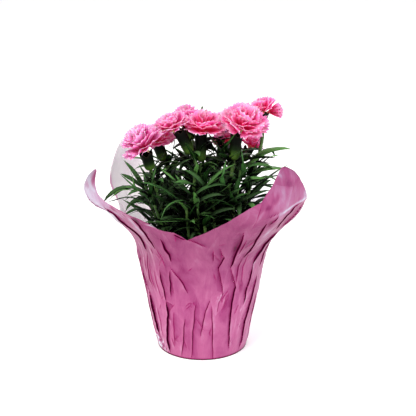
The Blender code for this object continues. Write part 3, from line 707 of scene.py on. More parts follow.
def foldField(azimuth, distance, radius, wobble):
    # At each point of the sheet: its rise over the smooth form, the darkness of its creases, and
    # its shade, which is deep beside a crease and pale on the lip and where the light catches.
    s = coverSizes
    steep, dip, dipRun = s["dip"]
    grooveDepth, grooveAt, grooveWidth = s["groove"]
    deep, deepRun = s["foldShade"]
    pale, paleRun = s["lipLight"]
    footShadow, footRun = s["footShadowLine"]
    heightRun, shadeRun, glintRun = s["endRuns"]
    rise = np.zeros_like(radius)
    dark = np.full_like(radius, -2.0)
    shade = np.zeros_like(radius)
    for kind, side, points in (*s["frontFolds"], *backFolds()):
        height, run, darkness, halfWidth = s["foldKinds"][kind]
        gap, turn, reached, total = nearLine(points, azimuth, distance, radius)
        signed = gap * turn * side + wobble * np.clip(3 - gap / 4, 0, 1)
        toEnd = np.minimum(reached, total - reached)
        taper = np.clip(toEnd / heightRun, 0, 1)
        behind = np.maximum(1 + signed / steep,
                            -dip * np.exp(np.minimum(signed + steep, 0) / dipRun))
        lip = np.where(signed > 0, np.exp(-np.abs(signed) / run), behind)
        groove = np.exp(-((signed + grooveAt) / grooveWidth) ** 2)
        rise += taper * (height * lip - grooveDepth * darkness * groove)
        # The line of painted shade is left unclipped, so that its edge stays sharp between the
        # sheet's points.
        swell = 0.5 + 0.5 * np.sin(np.pi * np.clip(reached / total, 0, 1)) ** 0.6
        line = 1.6 - np.maximum(np.abs(signed + 0.2), gap - 0.6) / (halfWidth * swell)
        dark = np.maximum(dark, darkness * line)
        strength = darkness * np.clip(toEnd / shadeRun + 0.3, 0, 1)
        shade += strength * np.where(signed < 0, deep * np.exp(np.minimum(signed, 0) / deepRun),
                                     -pale * np.exp(-np.maximum(signed, 0) / paleRun))
    # A painted contact shadow: a dark line round the foot of the cover.
    dark = np.maximum(dark, footShadow - (distance - s["baseRadius"]) / footRun)
    for halfWidth, strength, points in s["glints"]:
        gap, _, reached, total = nearLine(points, azimuth, distance, radius)
        ends = np.clip(np.minimum(reached, total - reached) / glintRun + 0.25, 0, 1)
        shade -= strength * ends * np.exp(-((gap + wobble) / halfWidth) ** 2)
    # Soft spots of painted shade and painted highlight.
    for around, up, halfWidth, halfHeight, tone in s["shadeAndLightSpots"]:
        across = aroundFrom(azimuth, around, radius) / halfWidth
        shade += tone * np.exp(-across ** 2 - ((distance - up) / halfHeight) ** 2)
    return rise, dark, shade


def coverPoints():
    s = coverSizes
    azimuth = np.concatenate([np.arange(a, b, step) for a, b, step in s["columnBands"]])
    rows = np.concatenate([np.linspace(a, b, n, endpoint=b == 1) for a, b, n in s["rowBands"]])
    lines = np.array([coverLine(a, rows) for a in azimuth])
    distance, radius, height = lines[:, 0], lines[:, 1], lines[:, 2]
    angle = np.radians(azimuth)[:, None]
    points = np.stack([radius * np.cos(angle), radius * np.sin(angle), height], axis=2)
    around = np.roll(points, -1, axis=0) - np.roll(points, 1, axis=0)
    up = np.gradient(points, axis=1)
    normal = np.cross(around, up)
    normal /= np.linalg.norm(normal, axis=2, keepdims=True)
    flapFrom, flapRun = s["flap"]
    flap = np.clip((distance - flapFrom) / flapRun, 0, 1)
    dents, wobble, crush = (np.zeros_like(radius) for _ in range(3))
    for i in range(len(azimuth)):
        for j in range(len(rows)):
            p = Vector(points[i, j])
            broad = noise.noise(p / s["broadDent"][0]) * s["broadDent"][1]
            first = noise.voronoi(p / s["facet"][0])[0]
            second = noise.voronoi(p / s["smallFacet"][0])[0]
            dents[i, j] = (broad * (0.5 + flap[i, j]) + (first[1] - first[0] - 0.3) * s["facet"][1]
                           + (second[1] - second[0] - 0.3) * s["smallFacet"][1])
            wobble[i, j] = noise.noise(p / s["wobble"][0]) * s["wobble"][1]
            third = noise.voronoi(p / s["crush"][0])[0]
            crush[i, j] = third[1] - third[0] - 0.35
    column = azimuth[:, None]
    rise, dark, shade = foldField(column, distance, radius, wobble)
    for around, up, reach, strength in s["crushed"]:
        gap = np.hypot(aroundFrom(column, around, radius), distance - up) / reach
        share = strength * np.clip(1.6 - gap, 0, 1)
        rise += share * crush * s["crush"][1]
        # The crushed foil's crumples get painted pale highlights.
        shade -= share * (0.6 + 3.2 * crush)
    for spot, up, spread, tall, depth in s["drawnIn"]:
        turned = turnFrom(column, spot) / spread
        rise -= depth * np.exp(-turned ** 2 - ((distance - up) / tall) ** 2)
    folded, dented = (np.clip((distance - s["baseRadius"]) / s[run], 0, 1)
                      for run in ("foldsFrom", "dentsFrom"))
    points = points + normal * ((rise * folded + dents * dented)[..., None])
    points[:, :, 2] = np.maximum(points[:, :, 2], 0)
    return azimuth, points, distance, dark, np.clip(shade, -1.4, 1.2)


def makeCover(foil, paper):
    s = coverSizes
    azimuth, points, distance, dark, shade = coverPoints()
    columns, rows = distance.shape
    verts = [(0, 0, 0)]
    creaseShades, shades, sheet = [0.0], [0.0], [0.0]
    for r in s["baseRings"]:
        verts += [(r * math.cos(turn), r * math.sin(turn), 0) for turn in np.radians(azimuth)]
        creaseShades += [0.0] * columns
        shades += [0.0] * columns
        sheet += [r] * columns
    for j in range(rows):
        verts += [tuple(p) for p in points[:, j]]
        creaseShades += list(dark[:, j])
        shades += list(shade[:, j])
        sheet += list(distance[:, j])
    verts = [Vector(v) * mm for v in verts]
    faces = [(0, 1 + (i + 1) % columns, 1 + i) for i in range(columns)]
    for ring in range(len(s["baseRings"]) + rows - 1):
        a = 1 + ring * columns
        for i in range(columns):
            k = (i + 1) % columns
            faces.append((a + i, a + k, a + columns + k, a + columns + i))
    mesh = bpy.data.meshes.new("pot_cover_foil")
    mesh.from_pydata(verts, [], faces)
    for name, values in (("crease", creaseShades), ("shade", shades), ("sheet", sheet)):
        mesh.attributes.new(name, "FLOAT", "POINT").data.foreach_set("value", values)
    mesh.materials.append(foil)
    mesh.materials.append(paper)
    mesh.shade_smooth()
    cover = placePiece("pot_cover_foil", mesh, "pink_foil", "pot_cover")
    shell = cover.modifiers.new("paperBack", "SOLIDIFY")
    shell.thickness = s["foil"] * mm
    shell.offset = -1
    shell.material_offset = 1
    shell.material_offset_rim = 0
    print("cover made:", len(faces), "faces")
    return BVHTree.FromPolygons(verts, faces)


# Flowers: petals, calyx and bud

flowerSizes = {
    "flowers": 10, "petals": 38, "smallPetals": 24, "smallRadius": 15.2,
    "petalRows": 7, "petalColumns": 11, "petalThickness": 0.22,
    "spread": 2, "upright": 84, "ruffle": 0.06, "pleat": 0.024, "neck": 0.24,
    # A head's width and height by its solid's, how far its foot is sunk in the calyx, and the
    # turn from one flower's petals to the next one's, in radians.
    "wide": 1.08, "tall": 1.02, "sunk": 1.5, "spin": 1.7,
    "calyxRows": 13, "calyxSides": 31, "calyxThickness": 0.5,
    # Each kind of calyx: its length and width by its solid's, how open its mouth is, its bracts,
    # and how far up it is darkened with the head's painted shade.
    "calyxKinds": {"open": (1.0, 0.97, 1.0, 6, 1.0), "young": (1.0, 0.6, 1.0, 6, 0.6),
                   "bud": (1.02, 0.95, 0.22, 4, 0.3)},
    "youngFlowers": (10,),
    # How lilac each flower is, from 0, warm pink, to 1; the left ones stand in a cooler light.
    "usualLilac": 0.08, "lilac": {1: 1.0, 2: 0.7, 3: 0.45, 4: 0.6, 6: 0.5, 8: 0.35, 9: 1.0},
    # Tufts of petals of the flowers that lean or open unevenly: direction, number of petals,
    # outer and inner petal length, and the elevation of the outer and the inner petals.
    "tufts": {
        1: (((-0.60, -0.12, 0.79), 40, 22, 22, 12, 74),),
        2: (((-0.10, -0.35, 0.93), 32, 17, 17, -6, 60),),
        3: (((-0.42, -0.16, 0.90), 36, 20, 15, 8, 56),),
        5: (((0.08, -0.12, 0.99), 32, 24, 20, -2, 26), ((0.10, 0.10, 0.99), 12, 18, 19, 62, 88)),
        7: (((0.26, -0.38, 0.89), 40, 25, 21, 10, 56),),
        9: (((-0.05, -0.40, 0.91), 26, 16, 15, 8, 60),),
        10: (((-0.44, -0.25, 0.86), 20, 15, 14, 12, 70), ((0.96, -0.15, 0.20), 9, 15, 15, 72, 86)),
    },
    # How far a head stands from its calyx's mouth.
    "moved": {1: (2, -1, 2), 2: (2, -3, -1), 3: (-4, -2, -2), 5: (1, 0, 0), 7: (4, 0, 2),
              9: (1, -9, 8), 10: (-1, 0, 0)},
}


def headTree():
    # Petals set round a stem by the golden angle, the inner ones upright and the outer ones
    # spread. A petal is a grid along (x) and across (y), bent from its claw into a toothed fan.
    tree, get = newTree("ruffledPetals", {
        "Petals": ("Int", 40), "Radius": ("Float", 0.02), "Crown": ("Float", 0.02),
        "Neck": ("Float", 0.005), "Ruffle": ("Float", 0.055), "Pleat": ("Float", 0.022),
        "Spread": ("Float", 0.1), "Upright": ("Float", 1.4), "Lilac": ("Float", 0.0),
        "Seed": ("Int", 1), "Material": ("Material", None)})
    blade = addNode(tree, "GeometryNodeMeshGrid", [
        1, 2, flowerSizes["petalRows"], flowerSizes["petalColumns"]])
    points = addNode(tree, "GeometryNodePoints", [get["Petals"]])
    copies = addNode(tree, "GeometryNodeInstanceOnPoints", {0: points, 2: blade})
    index = addNode(tree, "GeometryNodeInputIndex")
    last = addNode(tree, "ShaderNodeMath", [get["Petals"], 1.0], operation="SUBTRACT")
    rank = addNode(tree, "ShaderNodeMath", [index, last], operation="DIVIDE")
    chances = addNode(tree, "FunctionNodeRandomValue", {0: (0, 0, 0), 1: (1, 1, 1), 8: get["Seed"]},
                      data_type="FLOAT_VECTOR")
    ordered = addNode(tree, "GeometryNodeStoreNamedAttribute", {0: copies, 2: "order", 3: rank},
                      data_type="FLOAT", domain="INSTANCE")
    lots = addNode(tree, "GeometryNodeStoreNamedAttribute", {0: ordered, 2: "chance", 3: chances},
                   data_type="FLOAT_VECTOR", domain="INSTANCE")
    blades = addNode(tree, "GeometryNodeRealizeInstances", [lots])

    order = addNode(tree, "GeometryNodeInputNamedAttribute", ["order"], data_type="FLOAT")
    chance = addNode(tree, "GeometryNodeInputNamedAttribute", ["chance"], data_type="FLOAT_VECTOR")
    lot = addNode(tree, "ShaderNodeSeparateXYZ", [chance]).outputs
    position = addNode(tree, "GeometryNodeInputPosition")
    grid = addNode(tree, "ShaderNodeSeparateXYZ", [position]).outputs
    u = addNode(tree, "ShaderNodeMath", [grid[0], 0.5], operation="ADD")
    v = grid[1]
    # The toothed, rounded end: less reach at the sides, and every second point of the edge cut in.
    side = addNode(tree, "ShaderNodeMath", [v, v], operation="MULTIPLY")
    toothTurn, toothDepth, edgeFrom = 5 * math.pi, 0.05, 0.97
    toothAngle = addNode(tree, "ShaderNodeMath", [v, toothTurn, toothTurn],
                         operation="MULTIPLY_ADD")
    tooth = addNode(tree, "ShaderNodeMath", [toothAngle], operation="COSINE")
    edge = addNode(tree, "ShaderNodeMath", [u, edgeFrom], operation="GREATER_THAN")
    cut = addNode(tree, "ShaderNodeMath", [tooth, edge], operation="MULTIPLY")
    rounded = addNode(tree, "ShaderNodeMath", [side, -0.14, 1.0], operation="MULTIPLY_ADD")
    toothed = addNode(tree, "ShaderNodeMath", [cut, toothDepth, rounded], operation="MULTIPLY_ADD")
    spaced = addNode(tree, "ShaderNodeMath", [u, 1.35], operation="POWER")
    shaped = addNode(tree, "ShaderNodeMath", [spaced, toothed], operation="MULTIPLY")
    far = addNode(tree, "ShaderNodeMath", [shaped, 0.0001], operation="MAXIMUM")
    t = addNode(tree, "ShaderNodeMath", [far, 0.5], operation="POWER")
    # Length, elevation and width of this petal.
    base = addNode(tree, "ShaderNodeMapRange", {0: order, 3: get["Crown"], 4: get["Radius"]})
    luck = addNode(tree, "ShaderNodeMapRange", {0: lot[2], 3: 0.84, 4: 1.10})
    length = addNode(tree, "ShaderNodeMath", [base, luck], operation="MULTIPLY")
    opened = addNode(tree, "ShaderNodeMath", [order, 1.1], operation="POWER")
    level = addNode(tree, "ShaderNodeMapRange", {0: opened, 3: get["Upright"], 4: get["Spread"]})
    elevation = addNode(tree, "ShaderNodeMath", [lot[1], 0.36, level], operation="MULTIPLY_ADD")
    fan = setCurve(addNode(tree, "ShaderNodeFloatCurve", {"Value": far}),
                   (0, 0.06), (0.15, 0.10), (0.35, 0.36), (0.60, 0.70), (0.85, 0.95))
    share = addNode(tree, "ShaderNodeMapRange", {0: order, 3: 0.50, 4: 0.58})
    width = addNode(tree, "ShaderNodeMath", [fan, share], operation="MULTIPLY")
    half = addNode(tree, "ShaderNodeMath", [width, length], operation="MULTIPLY")
    tangential = addNode(tree, "ShaderNodeMath", [half, v], operation="MULTIPLY")
    # The middle line: a curve from the claw, straight up at first, out to the petal's elevation.
    cosine = addNode(tree, "ShaderNodeMath", [elevation], operation="COSINE")
    sine = addNode(tree, "ShaderNodeMath", [elevation], operation="SINE")
    out = addNode(tree, "ShaderNodeMath", [length, cosine], operation="MULTIPLY")
    rise = addNode(tree, "ShaderNodeMath", [length, sine, get["Neck"]], operation="MULTIPLY_ADD")
    radial = addNode(tree, "ShaderNodeMath", [out, far], operation="MULTIPLY")
    ahead = addNode(tree, "ShaderNodeMath", [rise, far], operation="MULTIPLY")
    left = addNode(tree, "ShaderNodeMath", [t, far], operation="SUBTRACT")
    neckUp = addNode(tree, "ShaderNodeMath", [left, 2.0], operation="MULTIPLY")
    height = addNode(tree, "ShaderNodeMath", [neckUp, get["Neck"], ahead],
                     operation="MULTIPLY_ADD")
    # Ruffles, which rise and fall across the petal and grow towards its edge, and a droop.
    phase = addNode(tree, "ShaderNodeMath", [lot[1], math.tau], operation="MULTIPLY")
    pitch = addNode(tree, "ShaderNodeMath", [lot[0], 2.0, 2.2], operation="MULTIPLY_ADD")
    waveAngle = addNode(tree, "ShaderNodeMath", [v, pitch, phase], operation="MULTIPLY_ADD")
    wave = addNode(tree, "ShaderNodeMath", [waveAngle], operation="SINE")
    shifted = addNode(tree, "ShaderNodeVectorMath", {0: chance, 1: (37, 53, 71)},
                      operation="MULTIPLY")
    local = addNode(tree, "ShaderNodeCombineXYZ", [u, v, 0.0])
    sample = addNode(tree, "ShaderNodeVectorMath", [shifted, local], operation="ADD")
    rough = addNode(tree, "ShaderNodeTexNoise", {"Vector": sample, "Scale": 1.9, "Detail": 1})
    centred = addNode(tree, "ShaderNodeMath", [rough, 4.0, -2.0], operation="MULTIPLY_ADD")
    ruffled = addNode(tree, "ShaderNodeMath", [wave, centred], operation="ADD")
    pleatAngle = addNode(tree, "ShaderNodeMath", [v, 3 * math.pi, phase], operation="MULTIPLY_ADD")
    pleat = addNode(tree, "ShaderNodeMath", [pleatAngle], operation="COSINE")
    pleated = addNode(tree, "ShaderNodeMath", [pleat, get["Pleat"]], operation="MULTIPLY")
    waved = addNode(tree, "ShaderNodeMath", [ruffled, get["Ruffle"], pleated],
                    operation="MULTIPLY_ADD")
    lift = addNode(tree, "ShaderNodeMath", [waved, far], operation="MULTIPLY")
    bend = addNode(tree, "ShaderNodeMapRange", {0: order, 3: 0.10, 4: -0.12})
    squared = addNode(tree, "ShaderNodeMath", [far, far], operation="MULTIPLY")
    droop = addNode(tree, "ShaderNodeMath", [bend, squared, lift], operation="MULTIPLY_ADD")
    offset = addNode(tree, "ShaderNodeMath", [droop, length], operation="MULTIPLY")
    turned = addNode(tree, "ShaderNodeMapRange", {0: far, 2: 0.6, 3: math.pi / 2, 4: elevation})
    inward = addNode(tree, "ShaderNodeMath", [turned], operation="SINE")
    upward = addNode(tree, "ShaderNodeMath", [turned], operation="COSINE")
    inset = addNode(tree, "ShaderNodeMath", [offset, inward], operation="MULTIPLY")
    radialRuffled = addNode(tree, "ShaderNodeMath", [radial, inset], operation="SUBTRACT")
    heightRuffled = addNode(tree, "ShaderNodeMath", [offset, upward, height],
                            operation="MULTIPLY_ADD")
    petal = addNode(tree, "ShaderNodeCombineXYZ", [radialRuffled, tangential, heightRuffled])
    number = addNode(tree, "ShaderNodeMath", [order, last], operation="MULTIPLY")
    golden = math.pi * (3 - math.sqrt(5))
    turn = addNode(tree, "ShaderNodeMath", [number, golden], operation="MULTIPLY")
    loose = addNode(tree, "ShaderNodeMath", [lot[0], 0.6, turn], operation="MULTIPLY_ADD")
    placed = addNode(tree, "ShaderNodeVectorRotate", {"Vector": petal, "Angle": loose},
                     rotation_type="Z_AXIS")
    shape = blades
    for label, value in (("along", far), ("across", v), ("tint", lot[2]), ("cool", get["Lilac"])):
        shape = addNode(tree, "GeometryNodeStoreNamedAttribute", {0: shape, 2: label, 3: value},
                        data_type="FLOAT", domain="POINT")
    shape = addNode(tree, "GeometryNodeSetPosition", {0: shape, 2: placed})
    shape = addNode(tree, "GeometryNodeSetShadeSmooth", [shape])
    shape = addNode(tree, "GeometryNodeSetMaterial", {0: shape, 2: get["Material"]})
    closeTree(tree, shape)
    return tree


def calyxTree():
    # A ribbed tube with five teeth, closed at its foot, and pointed bracts hugging the foot.
    tree, get = newTree("ribbedCalyx", {
        "Length": ("Float", 0.025), "Width": ("Float", 0.006), "Mouth": ("Float", 1.0),
        "Bracts": ("Int", 6), "HeadShade": ("Float", 1.0), "Material": ("Material", None)})
    tube = addNode(tree, "GeometryNodeMeshGrid", [
        1, 2, flowerSizes["calyxRows"], flowerSizes["calyxSides"]])
    tubeMark = addNode(tree, "GeometryNodeStoreNamedAttribute", {0: tube, 2: "bract", 3: -1.0},
                       data_type="FLOAT", domain="POINT")
    scale = addNode(tree, "GeometryNodeMeshGrid", [1, 2, 7, 7])
    points = addNode(tree, "GeometryNodePoints", [get["Bracts"]])
    scales = addNode(tree, "GeometryNodeInstanceOnPoints", {0: points, 2: scale})
    index = addNode(tree, "GeometryNodeInputIndex")
    scaleMark = addNode(tree, "GeometryNodeStoreNamedAttribute", {0: scales, 2: "bract", 3: index},
                        data_type="FLOAT", domain="INSTANCE")
    scalesMade = addNode(tree, "GeometryNodeRealizeInstances", [scaleMark])
    both = addNode(tree, "GeometryNodeJoinGeometry", [[tubeMark, scalesMade]])

    bract = addNode(tree, "GeometryNodeInputNamedAttribute", ["bract"], data_type="FLOAT")
    isBract = addNode(tree, "ShaderNodeMath", [bract, -0.5], operation="GREATER_THAN")
    position = addNode(tree, "GeometryNodeInputPosition")
    grid = addNode(tree, "ShaderNodeSeparateXYZ", [position]).outputs
    u = addNode(tree, "ShaderNodeMath", [grid[0], 0.5], operation="ADD")
    around = addNode(tree, "ShaderNodeMath", [grid[1], math.pi], operation="MULTIPLY")
    ribs, teeth, bractTurn = 15.0, 5.0, math.radians(137.5)
    # Bracts: narrowing to a point, each pair wider than the tube's side that it covers.
    narrowing = addNode(tree, "ShaderNodeMath", [u, 1.6], operation="POWER")
    remaining = addNode(tree, "ShaderNodeMath", [1.02, narrowing], operation="SUBTRACT")
    spanned = addNode(tree, "ShaderNodeMath", [remaining, 0.85], operation="MULTIPLY")
    stepTurn = addNode(tree, "ShaderNodeMath", [bract, bractTurn], operation="MULTIPLY")
    bractAngle = addNode(tree, "ShaderNodeMath", [grid[1], spanned, stepTurn],
                         operation="MULTIPLY_ADD")
    angle = addNode(tree, "ShaderNodeMix", {
        0: isBract, 2: around, 3: bractAngle}, data_type="FLOAT")
    rank = addNode(tree, "ShaderNodeMapRange", {0: bract, 2: 5.0, 3: 0.26, 4: 0.44})
    bractUp = addNode(tree, "ShaderNodeMath", [u, rank, 0.01], operation="MULTIPLY_ADD")
    up = addNode(tree, "ShaderNodeMix", {0: isBract, 2: u, 3: bractUp}, data_type="FLOAT")
    outline = setCurve(addNode(tree, "ShaderNodeFloatCurve", {"Value": up}), (0, 0.02),
                       (0.05, 0.46), (0.14, 0.70), (0.34, 0.82), (0.60, 0.84), (0.85, 0.93))
    ribAngle = addNode(tree, "ShaderNodeMath", [angle, ribs], operation="MULTIPLY")
    rib = addNode(tree, "ShaderNodeMath", [ribAngle], operation="COSINE")
    ribbed = addNode(tree, "ShaderNodeMath", [rib, 0.028, 1.0], operation="MULTIPLY_ADD")
    outer = addNode(tree, "ShaderNodeMapRange", {0: u, 3: 1.09, 4: 1.03})
    wrapped = addNode(tree, "ShaderNodeMix", {0: isBract, 2: ribbed, 3: outer}, data_type="FLOAT")
    closing = addNode(tree, "ShaderNodeMapRange", {0: up, 1: 0.55, 3: 1.0, 4: get["Mouth"]},
                      interpolation_type="SMOOTHSTEP")
    plain = addNode(tree, "ShaderNodeMath", [outline, wrapped], operation="MULTIPLY")
    closed = addNode(tree, "ShaderNodeMath", [plain, closing], operation="MULTIPLY")
    radius = addNode(tree, "ShaderNodeMath", [closed, get["Width"]], operation="MULTIPLY")
    toothAngle = addNode(tree, "ShaderNodeMath", [angle, teeth], operation="MULTIPLY")
    toothWave = addNode(tree, "ShaderNodeMath", [toothAngle], operation="COSINE")
    rim = addNode(tree, "ShaderNodeMapRange", {0: up, 1: 0.84, 3: 0.0, 4: 0.085})
    height = addNode(tree, "ShaderNodeMath", [toothWave, rim, up], operation="MULTIPLY_ADD")
    tall = addNode(tree, "ShaderNodeMath", [height, get["Length"]], operation="MULTIPLY")
    arm = addNode(tree, "ShaderNodeCombineXYZ", [radius, 0.0, tall])
    placed = addNode(tree, "ShaderNodeVectorRotate", {"Vector": arm, "Angle": angle},
                     rotation_type="Z_AXIS")
    # How far up the tube the head's painted shade reaches.
    headShaded = addNode(tree, "ShaderNodeMath", [up, get["HeadShade"]], operation="MULTIPLY")
    shape = addNode(tree, "GeometryNodeStoreNamedAttribute", {0: both, 2: "along", 3: headShaded},
                    data_type="FLOAT", domain="POINT")
    shape = addNode(tree, "GeometryNodeSetPosition", {0: shape, 2: placed})
    shape = addNode(tree, "GeometryNodeMergeByDistance", {0: shape, "Distance": 0.02 * mm})
    shape = addNode(tree, "GeometryNodeSetShadeSmooth", [shape])
    shape = addNode(tree, "GeometryNodeSetMaterial", {0: shape, 2: get["Material"]})
    closeTree(tree, shape)
    return tree


def nodePoints(name):
    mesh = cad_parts[name].data
    points = np.empty(len(mesh.vertices) * 3)
    mesh.vertices.foreach_get("co", points)
    return points.reshape(-1, 3)


def alongAndAside(points, start, axis):
    # How far points lie along an axis from its start, and how far to its side.
    reach = (points - start) @ axis
    return reach, np.linalg.norm(points - start - reach[:, None] * axis, axis=1)


def calyxAxis(number, kind="flower"):
    # Foot and mouth of a calyx: the ends of its long axis, the foot being the narrow, low one.
    points = np.unique(nodePoints(f"{kind}_{number:02d}_calyx").round(6), axis=0)
    middle = points.mean(axis=0)
    axis = np.linalg.svd(points - middle)[2][0]
    if axis[2] < 0:
        axis = -axis
    reach, side = alongAndAside(points, middle, axis)
    return (Vector(middle + axis * reach.min()), Vector(middle + axis * reach.max()), side.max())


def headSize(number, mouth, calyxLine):
    # The axis of a head of petals, from the calyx's mouth, with its radius and its depth.
    points = np.unique(nodePoints(f"flower_{number:02d}_petals").round(6), axis=0)
    axis = (Vector(points.mean(axis=0)) - mouth).normalized()
    # The petals stand closer to the calyx's own line than the middle of the head does.
    axis = (axis * 0.6 + calyxLine * 0.4).normalized()
    along, side = alongAndAside(points, np.array(mouth), np.array(axis))
    return axis, side.max(), along.max() - along.min()


def standing(place, axis, spin=0.0):
    turn = Vector(axis).to_track_quat("Z", "Y").to_matrix().to_4x4()
    return Matrix.Translation(place) @ turn @ Matrix.Rotation(spin, 4, "Z")


def makeHead(number, mouth, calyxLine, tree, paint):
    # The petals of one flower, or those of each of its lobes, joined in one mesh.
    s = flowerSizes
    axis, radius, depth = headSize(number, mouth, calyxLine)
    small = radius < s["smallRadius"] * mm
    usual = (axis, s["smallPetals"] if small else s["petals"], radius / mm * s["wide"],
             depth / mm * s["tall"], s["spread"], s["upright"])
    tufts = s["tufts"].get(number, (usual,))
    base = mouth + Vector(s["moved"].get(number, (0, 0, 0))) * mm
    whole = bmesh.new()
    for i, (line, petals, reach, crown, spread, upright) in enumerate(tufts):
        line = Vector(line).normalized()
        values = {"Petals": petals, "Radius": reach * mm, "Crown": crown * mm,
                  "Neck": depth * s["neck"], "Ruffle": s["ruffle"], "Pleat": s["pleat"],
                  "Spread": math.radians(spread), "Upright": math.radians(upright),
                  "Lilac": s["lilac"].get(number, s["usualLilac"]), "Seed": number + 20 * i,
                  "Material": paint}
        mesh = treeMesh("tuft", tree, values, thickness=s["petalThickness"])
        mesh.transform(standing(base - line * s["sunk"] * mm, line, number * s["spin"]))
        whole.from_mesh(mesh)
        bpy.data.meshes.remove(mesh)
    mesh = bpy.data.meshes.new(f"flower_{number:02d}_ruffled_head")
    whole.to_mesh(mesh)
    whole.free()
    mesh.materials.append(paint)
    return mesh


def makeCalyx(name, solid, ends, kind, tree, paint, spin=0.0):
    s = flowerSizes
    foot, mouth, width = ends
    long, slim, opened, bracts, headShade = s["calyxKinds"][kind]
    values = {"Length": (mouth - foot).length * long, "Width": width * slim, "Mouth": opened,
              "Bracts": bracts, "HeadShade": headShade, "Material": paint}
    mesh = treeMesh(name, tree, values, thickness=s["calyxThickness"])
    mesh.transform(standing(foot, mouth - foot, spin))
    placePiece(name, mesh, "calyx", solid)


def makeFlowers(petalPaint, calyxPaint):
    petals, tube = headTree(), calyxTree()
    for number in range(1, flowerSizes["flowers"] + 1):
        name = f"flower_{number:02d}"
        foot, mouth, width = calyxAxis(number)
        kind = "young" if number in flowerSizes["youngFlowers"] else "open"
        makeCalyx(name + "_calyx_tube", name + "_calyx", (foot, mouth, width), kind, tube,
                  calyxPaint, spin=number)
        mesh = makeHead(number, mouth, (mouth - foot).normalized(), petals, petalPaint)
        placePiece(name + "_ruffled_head", mesh, "petal", name + "_petals")
    makeCalyx("bud_01_closed", "bud_01_calyx", calyxAxis(1, "bud"), "bud", tube, calyxPaint)
    print("flowers made:", flowerSizes["flowers"], "and a bud")


# Stems and leaves

